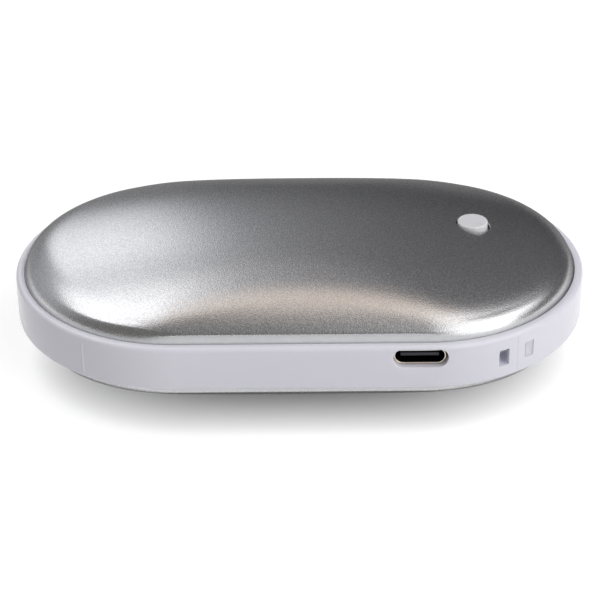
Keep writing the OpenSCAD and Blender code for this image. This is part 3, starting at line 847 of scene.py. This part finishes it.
@dataclass
class ButtonHole:
    """The round hole in the top shell that the button stands in."""

    x: float = 31.15 * MM
    radius: float = 3.0 * MM
    rounding: float = 0.16 * MM
    patch_radius: float = 5.6 * MM
    rings: tuple = (3.45 * MM, 4.0 * MM, 4.7 * MM)
    rounding_steps: int = 4

    def ring(self, mesh: BMesh, radius: float, drop: float) -> list[BMEdge]:
        """Adds a ring of points on the dome, or below it.

        Args:
            mesh: the dome's mesh.
            radius: the ring's radius.
            drop: how far it lies below the dome.

        Returns:
            The ring's edges.
        """
        verts = bmesh.ops.create_circle(
            mesh,
            cap_ends=False,
            radius=radius,
            segments=ROUND_STEPS,
            matrix=Matrix.Translation((self.x, 0, 0)),
        )["verts"]
        for vert in verts:
            vert.co.z = FORM.middle + FORM.dome(vert.co.x, vert.co.y) - drop
        return edges_at(verts)

    def cut(self, mesh: BMesh, depth: float) -> None:
        """Opens the hole in the dome's outer surface and turns its edge down.

        Args:
            mesh: the dome's outer surface.
            depth: how far the wall of the hole reaches below the surface.
        """
        gone = [
            face
            for face in mesh.faces
            if hypot((at := face.calc_center_median()).x - self.x, at.y) < self.patch_radius
        ]
        inside = set(gone)
        rim = dict.fromkeys(edge for face in gone for edge in face.edges)
        loops = [[edge for edge in rim if not inside.issuperset(edge.link_faces)]]
        bmesh.ops.delete(mesh, geom=gone, context="FACES")
        loops += [self.ring(mesh, radius, 0) for radius in reversed(self.rings)]
        centre = (self.radius + self.rounding, self.rounding)
        turned = arc(centre, self.rounding, -pi / 2, -pi, self.rounding_steps)
        turned.append((self.radius, depth))
        loops += [self.ring(mesh, radius, drop) for radius, drop in turned]
        loft(mesh, loops)


@dataclass
class MetalShell:
    """One domed half shell of blasted aluminium."""

    side: Side
    thickness: float = 0.7 * MM
    straight_steps: int = 26
    turn_steps: int = 60
    corner_steps: int = 8
    shoulder_steps: int = 14
    crown_steps: int = 26
    slack: tuple = (-0.06 * MM, -0.05 * MM, 0)
    corner_radius: float = 1.1 * MM
    end_corner_radius: float = 3.6 * MM
    wall_lean: float = radians(18)
    taper: tuple = (19.0 * MM, 30.0 * MM)
    hole: ButtonHole | None = None

    @property
    def node(self) -> str:
        """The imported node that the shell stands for."""
        return f"{self.side.name.lower()}_shell"

    def corner(self, radius: float) -> tuple[float, float, float]:
        """Works out the round corner between shoulder and wall.

        The wall leans inwards from the skirt at the band's rim, and the corner touches both it and
        the shoulder.

        Args:
            radius: the corner's radius.

        Returns:
            Distance out and height of the corner's centre, and the turn where it starts.
        """
        middle = FORM.shoulder_centre
        reach = FORM.shoulder_radius - radius
        c, s = cos(self.wall_lean), sin(self.wall_lean)
        across = (FORM.skirt_radius - middle[0]) * c + (FORM.rim - middle[1]) * s
        turn = self.wall_lean + acos((across - radius) / reach)
        return middle[0] + reach * cos(turn), middle[1] + reach * sin(turn), turn

    def section(self, radius: float) -> Points:
        """Half section of the outer surface, from the middle out and down the skirt.

        Args:
            radius: radius of the corner between shoulder and wall.

        Returns:
            Distance from the middle line and height above the band's middle of each point.
        """
        shoulder = FORM.shoulder_centre
        out, up, turn = self.corner(radius)
        start = shoulder[0] + FORM.shoulder_radius * cos(FORM.shoulder_turn)
        section = [
            (start * i / self.crown_steps, FORM.shoulder(start * i / self.crown_steps))
            for i in range(self.crown_steps)
        ]
        turns = FORM.shoulder_turn, turn, self.shoulder_steps
        section += arc(shoulder, FORM.shoulder_radius, *turns)[:-1]
        section += arc((out, up), radius, turn, self.wall_lean, self.corner_steps)
        for below in (0, FORM.seat_depth / 2, FORM.seat_depth):
            section.append((FORM.skirt_radius, FORM.rim - below))
        return section

    def build(self) -> bpy.types.Object:
        """Builds the shell as a closed wall of even thickness.

        Returns:
            The shell.
        """
        mesh = bmesh.new()
        out, up, _ = self.corner(self.corner_radius)
        section = self.section(self.corner_radius)
        sweep_oval(mesh, section, False, self.straight_steps, self.turn_steps)
        for face in mesh.faces:
            # The wall below the corner gets the second finish: smooth trimmed metal, darkened as
            # painted shade.
            face.material_index = int(face.calc_center_median().z < up)
        self.round_ends(mesh, section)
        for vert in mesh.verts:
            if FORM.outward(vert.co.x, vert.co.y) < out:
                vert.co.z = min(vert.co.z, FORM.dome(vert.co.x, vert.co.y))
        flip = Matrix.Translation((0, 0, FORM.middle)) @ Matrix.Diagonal((1, 1, self.side.value, 1))
        bmesh.ops.transform(mesh, matrix=flip, verts=mesh.verts)
        if self.side is Side.BOTTOM:
            self.flatten(mesh)
        if self.hole:
            self.hole.cut(mesh, self.thickness)
        bmesh.ops.recalc_face_normals(mesh, faces=mesh.faces)
        bmesh.ops.solidify(mesh, geom=mesh.faces, thickness=self.thickness)
        bmesh.ops.translate(mesh, verts=mesh.verts, vec=self.slack)
        bmesh.ops.recalc_face_normals(mesh, faces=mesh.faces)
        return piece_from(mesh, f"{self.node}_skin")

    def round_ends(self, mesh: BMesh, section: Points) -> None:
        """Lets the wall along the straight sides run out into a rounder corner at the ends.

        Args:
            mesh: the swept surface.
            section: the section that it was swept with.
        """
        rounder = self.section(self.end_corner_radius)
        first = self.crown_steps
        for vert in mesh.verts:
            share = (abs(vert.co.x) - self.taper[0]) / (self.taper[1] - self.taper[0])
            share = min(max(share, 0.0), 1.0)
            away = FORM.outward(vert.co.x, vert.co.y)
            if not share or away <= section[first][0] - MERGE:
                continue
            share *= share * (3 - 2 * share)
            near = [hypot(away - o, vert.co.z - u) for o, u in section[first:]]
            index = first + near.index(min(near))
            out, up = (a + (b - a) * share for a, b in zip(section[index], rounder[index]))
            middle = Vector((min(max(vert.co.x, -FORM.end_x), FORM.end_x), 0, 0))
            flat = Vector((vert.co.x, vert.co.y, 0)) - middle
            vert.co = middle + flat * (out / away)
            vert.co.z = up

    @staticmethod
    def flatten(mesh: BMesh) -> None:
        """Presses the bottom dome flat where the case rests.

        Args:
            mesh: the dome's outer surface.
        """
        bmesh.ops.bisect_plane(mesh, geom=everything(mesh), plane_co=(0, 0, 0), plane_no=UP)
        for vert in mesh.verts:
            vert.co.z = max(vert.co.z, 0)

    def dress(self) -> None:
        """Builds the shell and gives it its finishes: blasted metal, and on the wall a smooth
        trimmed edge, darkened as painted shade.
        """
        finish_piece(self.build(), BLASTED_ALUMINIUM, Body.CASE, self.node, second=TRIMMED_EDGE_PAINTED_SHADE)


@dataclass
class ChargingSocket:
    """The socket in the band: its opening, its steel shell and its moulded insert."""

    x: float = 20.25 * MM
    height: float = 1.95 * MM
    mouth_width: float = 8.34 * MM
    mouth_height: float = 2.56 * MM
    wall: float = 0.3 * MM
    recess: float = 0.92 * MM
    back: float = -21.9 * MM
    gap: float = 0.2 * MM
    slack: float = 0.15 * MM
    opening_bevel: float = 0.25 * MM
    opening_depth: float = 8 * MM
    loop_steps: int = 48
    tongue_width: float = 6.6 * MM
    tongue_thickness: float = 0.7 * MM
    tongue_front: float = -28.0 * MM
    tongue_root: float = 0.2 * MM
    tongue_rounding: float = 0.12 * MM
    plug_depth: float = 1.4 * MM
    plug_slack: float = 0.02 * MM
    leg_width: float = 1.1 * MM
    leg_depth: float = 2.75 * MM
    leg_rows: tuple = (-22.8 * MM, -24.4 * MM)

    @property
    def front(self) -> float:
        """Place of the socket's mouth across the case."""
        return -FORM.end_radius + self.recess

    @property
    def centre(self) -> Vector:
        """Middle of the mouth's outline, moved along Y to the middle of the case."""
        return Vector((self.x, 0, FORM.middle + self.height))

    def loop(self, mesh: BMesh, grow: float, y: float, aside: float = 0) -> list[BMEdge]:
        """A round-ended loop round the mouth's outline, upright across the case.

        Args:
            mesh: the mesh that takes it.
            grow: how far it lies outside the mouth's own outline.
            y: its place across the case.
            aside: how far it is moved along the case.

        Returns:
            The loop's edges.
        """
        half_step = Matrix.Rotation(pi / self.loop_steps, 4, "Z")
        verts = bmesh.ops.create_circle(
            mesh,
            cap_ends=False,
            radius=self.mouth_height / 2 + grow,
            segments=self.loop_steps,
            matrix=Matrix.Rotation(pi / 2, 4, "X") @ half_step,
        )["verts"]
        half_straight = (self.mouth_width - self.mouth_height) / 2
        for vert in verts:
            vert.co.x += half_straight if vert.co.x > 0 else -half_straight
        bmesh.ops.translate(mesh, verts=verts, vec=self.centre + Vector((aside, y, 0)))
        return edges_at(verts)

    def cutter(self) -> BMesh:
        """Builds what is taken out of the band for the socket, flared at the band's face.

        Returns:
            The closed mesh.
        """
        mesh = bmesh.new()
        face, bevel = -FORM.end_radius, self.opening_bevel
        inner = self.wall + self.gap
        outer = inner + bevel
        profile = [(outer + CLEAR, face - CLEAR)]
        profile += arc((outer, face + bevel), bevel, -pi / 2, -pi, steps=3)
        profile.append((inner, face + self.opening_depth))
        loops = [self.loop(mesh, grow, y, self.slack) for grow, y in profile]
        loft(mesh, loops)
        cap(mesh, loops)
        return mesh

    def shell(self) -> bpy.types.Object:
        """Builds the drawn steel shell, closed at the back, with its four legs, and its inner faces
        painted near-black as shade.

        Returns:
            The shell.
        """
        mesh = bmesh.new()
        half_wall = self.wall / 2
        lip = arc((half_wall, self.front + half_wall), half_wall, 0, -pi, steps=6)
        profile = [(self.wall, self.back), *lip, (0, self.back - self.wall)]
        loops = [self.loop(mesh, grow, y) for grow, y in profile]
        loft(mesh, loops[:-1])
        outside = set(mesh.faces)
        loft(mesh, loops[-2:])
        # The shell's inner faces get the second finish, near-black: painted shade inside the mouth.
        for face in set(mesh.faces) - outside:
            face.material_index = 1
        cap(mesh, loops)
        half = Vector((self.wall, self.leg_width, self.leg_depth)) / 2
        aside = self.mouth_width / 2 + half_wall
        for x in (-aside, aside):
            for y in self.leg_rows:
                middle = self.centre + Vector((x, y, -half.z))
                block(mesh, middle - half, middle + half)
        return piece_from(mesh, "socket_housing")

    def tongue(self) -> bpy.types.Object:
        """Builds the moulded insert: a plug at the back with the tongue standing out of it.

        Returns:
            The insert.
        """
        mesh = bmesh.new()
        back = self.back - self.wall
        base = back - self.plug_depth
        loops = [self.loop(mesh, -self.plug_slack, y) for y in (back, base)]
        loft(mesh, loops)
        cap(mesh, loops)
        half = Vector((self.tongue_width / 2, 0, self.tongue_thickness / 2))
        tip, root = Vector((0, self.tongue_front, 0)), Vector((0, base + self.tongue_root, 0))
        block(mesh, self.centre - half + tip, self.centre + half + root)
        bmesh.ops.recalc_face_normals(mesh, faces=mesh.faces)
        soften(mesh, self.tongue_rounding, segments=3)
        return piece_from(mesh, "socket_insert")

    def dress(self) -> None:
        """Builds the socket's pieces and gives them their finishes, with painted shade on the steel
        shell's inner faces.
        """
        finish_piece(self.shell(), SOCKET_STEEL, Body.CASE, "socket_shell", second=SOCKET_PAINTED_SHADE)
        finish_piece(self.tongue(), SOCKET_PLASTIC, Body.CASE, "socket_tongue")


@dataclass
class CordBar:
    """The two small windows in the band's round end, with the bar between them."""

    angle: float = radians(32)
    bar_width: float = 3.35 * MM
    window_width: float = 2 * MM
    window_height: float = 3.1 * MM
    bar_thickness: float = 1.7 * MM
    rounding: float = 0.22 * MM
    tunnel_turn: float = radians(100)
    tunnel_steps: int = 17
    bar_steps: int = 16
    ramp: tuple = ((0.3 * MM, 1.55 * MM), (0.85 * MM, 0.85 * MM), (2 * MM, 0.42 * MM))

    @property
    def reach(self) -> float:
        """Distance from the bar's middle to the far side of a window, and depth of the tunnel."""
        return self.bar_width / 2 + self.window_width

    def cutter(self) -> BMesh:
        """Builds what is taken out of the band: a tunnel that goes under the bar.

        The tunnel is half round on the left and ramps up on the right, and the bar's back is round.

        Returns:
            The closed mesh.
        """
        mesh = bmesh.new()
        face, bar, reach = -FORM.end_radius, self.bar_width / 2, self.reach
        outline = [(-reach, face - CLEAR)]
        outline += arc((0, face), reach, pi, pi - self.tunnel_turn, self.tunnel_steps)
        outline += [(bar + out, face + deep) for out, deep in self.ramp]
        outline += [(reach, face - CLEAR), (bar, face - CLEAR)]
        back = arc((0, 0), 1, 0, pi, self.bar_steps)
        outline += [(bar * x, face + self.bar_thickness * y) for x, y in back]
        outline.append((-bar, face - CLEAR))
        low = FORM.middle - self.window_height / 2
        loop = chain(mesh, [Vector((x, y, low)) for x, y in outline], True)
        plate = bmesh.ops.contextual_create(mesh, geom=loop)["faces"]
        top = bmesh.ops.extrude_face_region(mesh, geom=plate)["geom"]
        lifted = [g for g in top if isinstance(g, BMVert)]
        bmesh.ops.translate(mesh, verts=lifted, vec=(0, 0, self.window_height))
        bmesh.ops.recalc_face_normals(mesh, faces=mesh.faces)
        soften(mesh, self.rounding, segments=3, sharper_than=60)
        bmesh.ops.rotate(mesh, verts=mesh.verts, matrix=Matrix.Rotation(self.angle, 3, "Z"))
        bmesh.ops.translate(mesh, verts=mesh.verts, vec=(FORM.end_x, 0, 0))
        return mesh


@dataclass
class MiddleBand:
    """The white plastic band that the shells sit in."""

    socket: ChargingSocket
    cord_bar: CordBar
    lip_rounding: float = 0.8 * MM
    inner_rounding: float = 0.08 * MM
    wall: float = 2.6 * MM
    shell_gap: float = 0.08 * MM
    straight_steps: int = 16
    turn_steps: int = 72
    pocket_wall: float = 0.8 * MM
    pocket_overlap: float = 0.4 * MM
    pocket_steps: int = 24
    seam_width: float = 0.14 * MM
    seam_depth: float = 0.05 * MM
    ridge_height: float = 0.12 * MM
    ridge_fall: float = 0.168 * MM
    ridge_root: float = 0.2 * MM

    def section(self) -> Points:
        """Closed section of the band: rounded lips, and a step at each end for the shells.

        Returns:
            Distance from the middle line and height in the frame of each point.
        """
        out, rim, seat = FORM.end_radius, FORM.rim, FORM.rim - FORM.seat_depth
        lip, inner = out - FORM.lip_width + self.shell_gap, out - self.wall
        r, s = self.lip_rounding, self.inner_rounding
        upper = [(out, 0.0)]
        upper += arc((out - r, rim - r), r, 0, pi / 2, steps=10)
        upper += arc((lip + s, rim - s), s, pi / 2, pi, steps=3)
        upper += [(lip, seat), (inner, seat)]
        lower = [(o, -u) for o, u in reversed(upper[1:])]
        return [(o, FORM.middle + u) for o, u in upper + lower]

    def pocket(self) -> BMesh:
        """Builds the thicker wall behind the cord bar, on the band's inner face.

        Returns:
            The closed mesh.
        """
        mesh = bmesh.new()
        bar = self.cord_bar
        inner = FORM.end_radius - bar.reach - self.pocket_wall
        outer = FORM.end_radius - self.wall + self.pocket_overlap
        seat = FORM.rim - FORM.seat_depth
        spread = asin((bar.reach + self.pocket_wall) / FORM.end_radius)
        centre = Vector((FORM.end_x, 0, FORM.middle))
        corners = [(inner, -seat), (outer, -seat), (outer, seat), (inner, seat)]
        loop = chain(mesh, [centre + Vector((0, -out, up)) for out, up in corners], True)
        bmesh.ops.contextual_create(mesh, geom=loop)
        turn = Matrix.Rotation(bar.angle - spread, 3, "Z")
        bmesh.ops.rotate(mesh, verts=mesh.verts, cent=centre, matrix=turn)
        bmesh.ops.spin(
            mesh,
            geom=everything(mesh),
            cent=centre,
            axis=UP,
            angle=2 * spread,
            steps=self.pocket_steps,
        )
        settle(mesh)
        return mesh

    def seam(self, end: int, side: int) -> BMesh:
        """Builds a fine line where the halves of the band's mould met.

        Args:
            end: which end of the case, 1 for the button's.
            side: which side of the case, 1 for the back.

        Returns:
            The closed mesh: a groove's cutter at the button's end, a low ridge at the other one.
        """
        line = bmesh.new()
        centre = Vector((end * FORM.end_x, 0, FORM.middle))
        half = Vector((0, self.seam_width / 2, FORM.rim - self.lip_rounding))
        low, high = -self.seam_depth, CLEAR
        if end < 0:
            low, high = -self.ridge_root, self.ridge_height
            half.z -= self.lip_rounding / 2
        corners = block(
            line,
            centre - half + Vector((FORM.end_radius + low, 0, 0)),
            centre + half + Vector((FORM.end_radius + high, 0, 0)),
        )
        if end < 0:
            for corner in corners:
                if corner.co.x > centre.x + FORM.end_radius and corner.co.y * side < 0:
                    corner.co.x -= self.ridge_fall
                    corner.co.y -= side * self.seam_width
        turn = pi / 2 - self.cord_bar.angle
        angle = side * turn if end > 0 else pi - side * turn
        turned = Matrix.Rotation(angle, 3, "Z")
        bmesh.ops.rotate(line, verts=line.verts, cent=centre, matrix=turned)
        return line

    def build(self) -> bpy.types.Object:
        """Builds the band with its openings.

        Returns:
            The band.
        """
        ring = bmesh.new()
        sweep_oval(ring, self.section(), True, self.straight_steps, self.turn_steps)
        added = [self.pocket(), self.seam(-1, 1), self.seam(-1, -1)]
        cutters = [self.socket.cutter(), self.cord_bar.cutter(), self.seam(1, 1), self.seam(1, -1)]
        return piece_from(carve(ring, added, cutters), "plastic_band", crease=30)

    def dress(self) -> None:
        """Builds the band and gives it its finish."""
        finish_piece(self.build(), BAND_PLASTIC, Body.CASE, "middle_band")


@dataclass
class PressButton:
    """The button that stands out of the top shell."""

    x: float = 31 * MM
    radius: float = 2.7 * MM
    proud: float = 0.65 * MM
    rounding: float = 0.28 * MM
    dish: float = 0.05 * MM
    top_steps: int = 8
    flange_radius: float = 3.6 * MM
    flange_top: float = 9.966 * MM
    flange_thickness: float = 0.8 * MM
    stem_radius: float = 1.4 * MM
    stem_foot: float = 2.92 * MM

    def build(self) -> bpy.types.Object:
        """Turns the button with its flange and stem.

        Returns:
            The button.
        """
        top = FORM.crown(self.x, 0) + self.proud
        under = self.flange_top - self.flange_thickness
        r = self.rounding
        crown = [
            (self.radius * share, top - self.dish * (1 - share**2))
            for share in (step / self.top_steps for step in range(self.top_steps - 1))
        ]
        edge = arc((self.radius - r, top - r), r, pi / 2, 0, steps=6)
        section = [
            *crown,
            *edge,
            (self.radius, self.flange_top),
            (self.flange_radius, self.flange_top),
            (self.flange_radius, under),
            (self.stem_radius, under),
            (self.stem_radius, self.stem_foot),
            (0, self.stem_foot),
        ]
        mesh = bmesh.new()
        lathe(mesh, section, Vector((self.x, 0, FORM.middle)))
        return piece_from(mesh, "press_button", crease=40)

    def dress(self) -> None:
        """Builds the button and gives it its finish."""
        finish_piece(self.build(), BUTTON_PLASTIC, Body.BUTTON, "power_button")


@dataclass
class FoamPads:
    """A pair of foam pads that press a heating film against its shell."""

    node: str
    name: str
    rounding: float = 0.7 * MM
    fill: float = 0.2

    def build(self) -> bpy.types.Object:
        """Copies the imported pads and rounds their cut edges.

        Returns:
            The pads.
        """
        mesh = bmesh.new()
        mesh.from_mesh(frame["nodes"][self.node].data)
        bmesh.ops.remove_doubles(mesh, verts=mesh.verts, dist=MERGE)
        flat = radians(1)
        bmesh.ops.dissolve_limit(mesh, angle_limit=flat, verts=mesh.verts, edges=mesh.edges)
        soften(mesh, self.rounding, segments=3, sharper_than=50)
        bmesh.ops.triangulate(mesh, faces=mesh.faces)
        return piece_from(mesh, self.name)

    def dress(self) -> None:
        """Builds the pads and gives them their finish."""
        pads = self.build()
        finish_piece(pads, PAD_FOAM, Body.CASE, self.node)


class InnerParts:
    """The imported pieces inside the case, which keep their shapes and get real finishes."""

    def dress(self) -> None:
        """Gives each inner piece the finish that its material slot names."""
        slots = {row["node"]: row["material_slot"] for row in frame["record"]["subparts"]}
        for node, piece in sorted(frame["nodes"].items()):
            if piece.hide_render:
                continue
            piece.data.materials.clear()
            piece.data.materials.append(material_of(INNER_FINISHES[slots[node]]))
            log.info("%s: %s", node, slots[node])


# ---------------------------------------------------------------------------------------------
# Studio
# ---------------------------------------------------------------------------------------------


def standing(right: Vector, up: Vector, back: Vector, at: Vector) -> Matrix:
    """Places a camera or lamp with its X and Y directions, and the one away from its aim."""
    return Matrix.Translation(at) @ Matrix((right, up, back)).transposed().to_4x4()


@dataclass
class StudioCamera:
    """The camera at the photograph's viewing angle."""

    elevation: float = 0.528838
    turn: float = 0.000125
    roll: float = -0.008755
    distance: float = 370.66 * MM
    lens: float = 122.51
    sensor: float = 36.0
    shift: tuple = (0.00078, -0.03085)
    clip: tuple = (0.01, 20)

    def place(self) -> None:
        """Puts the camera in the scene."""
        away = cos(self.elevation)
        back = Vector((sin(self.turn) * away, -cos(self.turn) * away, sin(self.elevation)))
        right = Vector((cos(self.turn), sin(self.turn), 0))
        up = back.cross(right)
        c, s = cos(self.roll), sin(self.roll)
        right, up = c * right + s * up, c * up - s * right
        data = bpy.data.cameras.new("camera")
        data.lens, data.sensor_width = self.lens, self.sensor
        data.shift_x, data.shift_y = self.shift
        data.clip_start, data.clip_end = self.clip
        camera = into_scene("camera", data)
        at = Vector((0, 0, FORM.middle)) + back * self.distance
        camera.matrix_world = standing(right, up, back, at)
        bpy.context.scene.camera = camera


@dataclass(frozen=True)
class Softbox:
    """A rectangular lamp that faces the case.

    tilt and spread are angles in degrees seen from the case, to the right and to the back: where
    the lamp's middle is from straight overhead, and how wide the lamp looks. turn is its turn about
    the line to the case.
    """

    name: str
    tilt: tuple[float, float]
    spread: tuple[float, float]
    level: float
    turn: float = 0
    colour: tuple = (1.0, 1.0, 1.0)
    distance: float = 0.9
    edge: float = 0.3

    def fade(self, data: bpy.types.AreaLight) -> None:
        """Dims the lamp towards its edges, as the cloth of a softbox does.

        Args:
            data: the lamp's settings.
        """
        data.use_nodes = True
        n = NodeTree(data.node_tree)
        parts = n.add("ShaderNodeSeparateXYZ")
        n.join(n.add("ShaderNodeNewGeometry").outputs["Parametric"], parts.inputs[0])
        steps = [
            n.ramp(parts.outputs[axis], start, end)
            for axis in ("X", "Y")
            for start, end in ((0.0, self.edge), (1.0, 1.0 - self.edge))
        ]
        level = reduce(lambda one, other: n.math("MULTIPLY", one, other), steps)
        n.join(level, n.tree.nodes["Emission"].inputs["Strength"])

    def place(self) -> None:
        """Puts the lamp in the scene."""
        far = radians(hypot(*self.tilt))
        around = atan2(self.tilt[1], self.tilt[0])
        away = Vector((sin(far) * cos(around), sin(far) * sin(around), cos(far)))
        data = bpy.data.lights.new(self.name, "AREA")
        data.shape = "RECTANGLE"
        data.size, data.size_y = (2 * self.distance * tan(radians(a / 2)) for a in self.spread)
        data.energy = self.level * pi * data.size * data.size_y
        data.color = self.colour
        self.fade(data)
        lamp = into_scene(self.name, data)
        right = (Vector((1, 0, 0)) - away * away.x).normalized()
        placed = standing(right, away.cross(right), away, away * self.distance)
        lamp.matrix_world = placed @ Matrix.Rotation(radians(self.turn), 4, "Z")
        lamp.visible_camera = False


@dataclass
class Studio:
    """The pale floor, the room and the lamps round the case.

    The room has a colour for each side, and another one for the horizon on that side. The fields
    that end in _range are parts of a direction, between which one colour turns into the next.
    """

    floor_radius: float = 4.0
    floor_steps: int = 64
    floor_level: float = 0.68
    floor_glow: float = 0.6
    # How far from the case the painted contact shadow in the floor's glow reaches.
    shadow_reach: float = 7 * MM
    shadow_samples: int = 16
    horizon: tuple = (0.4, 0.4, 0.41)
    horizon_left: tuple = (0.1, 0.1, 0.1)
    horizon_rear: tuple = (0.3, 0.3, 0.31)
    horizon_rear_left: tuple = (0.65, 0.655, 0.68)
    rear_left: tuple = (0.49, 0.495, 0.52)
    front_left: tuple = (0.19, 0.187, 0.18)
    right: tuple = (0.14, 0.14, 0.147)
    ahead_range: tuple = (0.3, -0.4)
    across_range: tuple = (-0.4, 0.25)
    horizon_across_range: tuple = (-0.8, -0.2)
    horizon_up_range: tuple = (0.01, 0.09)
    lamps: tuple = (
        Softbox("left_softbox", (-26, 10), (45, 50), 1.45),
        Softbox("left_strip", (-24, 56), (26, 52), 1.15, colour=(0.97, 0.98, 1.0)),
        Softbox("right_softbox", (41, -23), (72, 76), 1.75),
        Softbox("front_softbox", (52, -56), (60, 30), 1.5),
        Softbox("front_card", (3, -84), (50, 20), 0.85),
        Softbox("warm_panel", (4, -2), (36, 32), 0.66, turn=-16, colour=(1.0, 0.8, 0.63)),
    )

    def floor(self) -> None:
        """Lays the floor, whose glow shows and is mirrored nearly white, with a painted contact
        shadow: ambient occlusion darkens the glow near the case.
        """
        mesh = bmesh.new()
        bmesh.ops.create_circle(
            mesh, cap_ends=True, radius=self.floor_radius, segments=self.floor_steps
        )
        floor = piece_from(mesh, "floor")
        material = bpy.data.materials.new("floor_paper")
        material.use_nodes = True
        n = NodeTree(material.node_tree)
        n.tree.nodes.remove(n.tree.nodes["Principled BSDF"])
        rays = n.add("ShaderNodeLightPath").outputs
        mirrored = n.math("MAXIMUM", rays["Is Glossy Ray"], rays["Is Transmission Ray"])
        paper = n.add("ShaderNodeBsdfDiffuse", color=grey(self.floor_level))
        glow = n.add("ShaderNodeEmission", color=grey(self.floor_glow))
        seen = n.math("MAXIMUM", rays["Is Camera Ray"], mirrored)
        # Ambient occlusion darkens the glow near the case: a painted contact shadow in the floor's
        # emission.
        painted_contact_shadow = n.add(
            "ShaderNodeAmbientOcclusion", samples=self.shadow_samples, distance=self.shadow_reach
        )
        n.join(n.math("MULTIPLY", seen, painted_contact_shadow.outputs["AO"]), glow.inputs["Strength"])
        both = n.add("ShaderNodeAddShader")
        n.join(paper.outputs[0], both.inputs[0])
        n.join(glow.outputs[0], both.inputs[1])
        n.join(both.outputs[0], n.tree.nodes["Material Output"].inputs["Surface"])
        floor.data.materials.append(material)

    def room(self) -> None:
        """Makes the room, brightest at the rear left."""
        world = bpy.data.worlds.new("room")
        bpy.context.scene.world = world
        world.use_nodes = True
        n = NodeTree(world.node_tree)
        parts = n.add("ShaderNodeSeparateXYZ")
        n.join(n.add("ShaderNodeTexCoord").outputs["Generated"], parts.inputs[0])
        ahead = n.ramp(parts.outputs["Y"], *self.ahead_range)
        left = n.mix(ahead, self.rear_left, self.front_left)
        across = n.ramp(parts.outputs["X"], *self.across_range)
        walls = n.mix(across, left, self.right)
        near_left = n.ramp(parts.outputs["X"], *self.horizon_across_range)
        front = n.mix(near_left, self.horizon_left, self.horizon)
        rear = n.mix(across, self.horizon_rear_left, self.horizon_rear)
        horizon = n.mix(ahead, rear, front)
        colour = n.mix(n.ramp(parts.outputs["Z"], *self.horizon_up_range), horizon, walls)
        n.join(colour, n.tree.nodes["Background"].inputs["Color"])

    def place(self) -> None:
        """Puts the floor, the room and the lamps in the scene."""
        self.floor()
        self.room()
        for lamp in self.lamps:
            lamp.place()


def main() -> None:
    """Builds the pieces in order, dresses them and lights them."""
    logging.basicConfig(level=logging.INFO, format="%(message)s")
    scene = bpy.context.scene
    scene.view_settings.view_transform = "Standard"
    StudioCamera().place()
    MetalShell(Side.TOP, hole=ButtonHole()).dress()
    MetalShell(Side.BOTTOM).dress()
    socket = ChargingSocket()
    MiddleBand(socket, CordBar()).dress()
    socket.dress()
    PressButton().dress()
    FoamPads("top_foam_pads", "upper_pads").dress()
    FoamPads("bottom_foam_pads", "lower_pads").dress()
    InnerParts().dress()
    Studio().place()


if __name__ == "__main__":
    main()
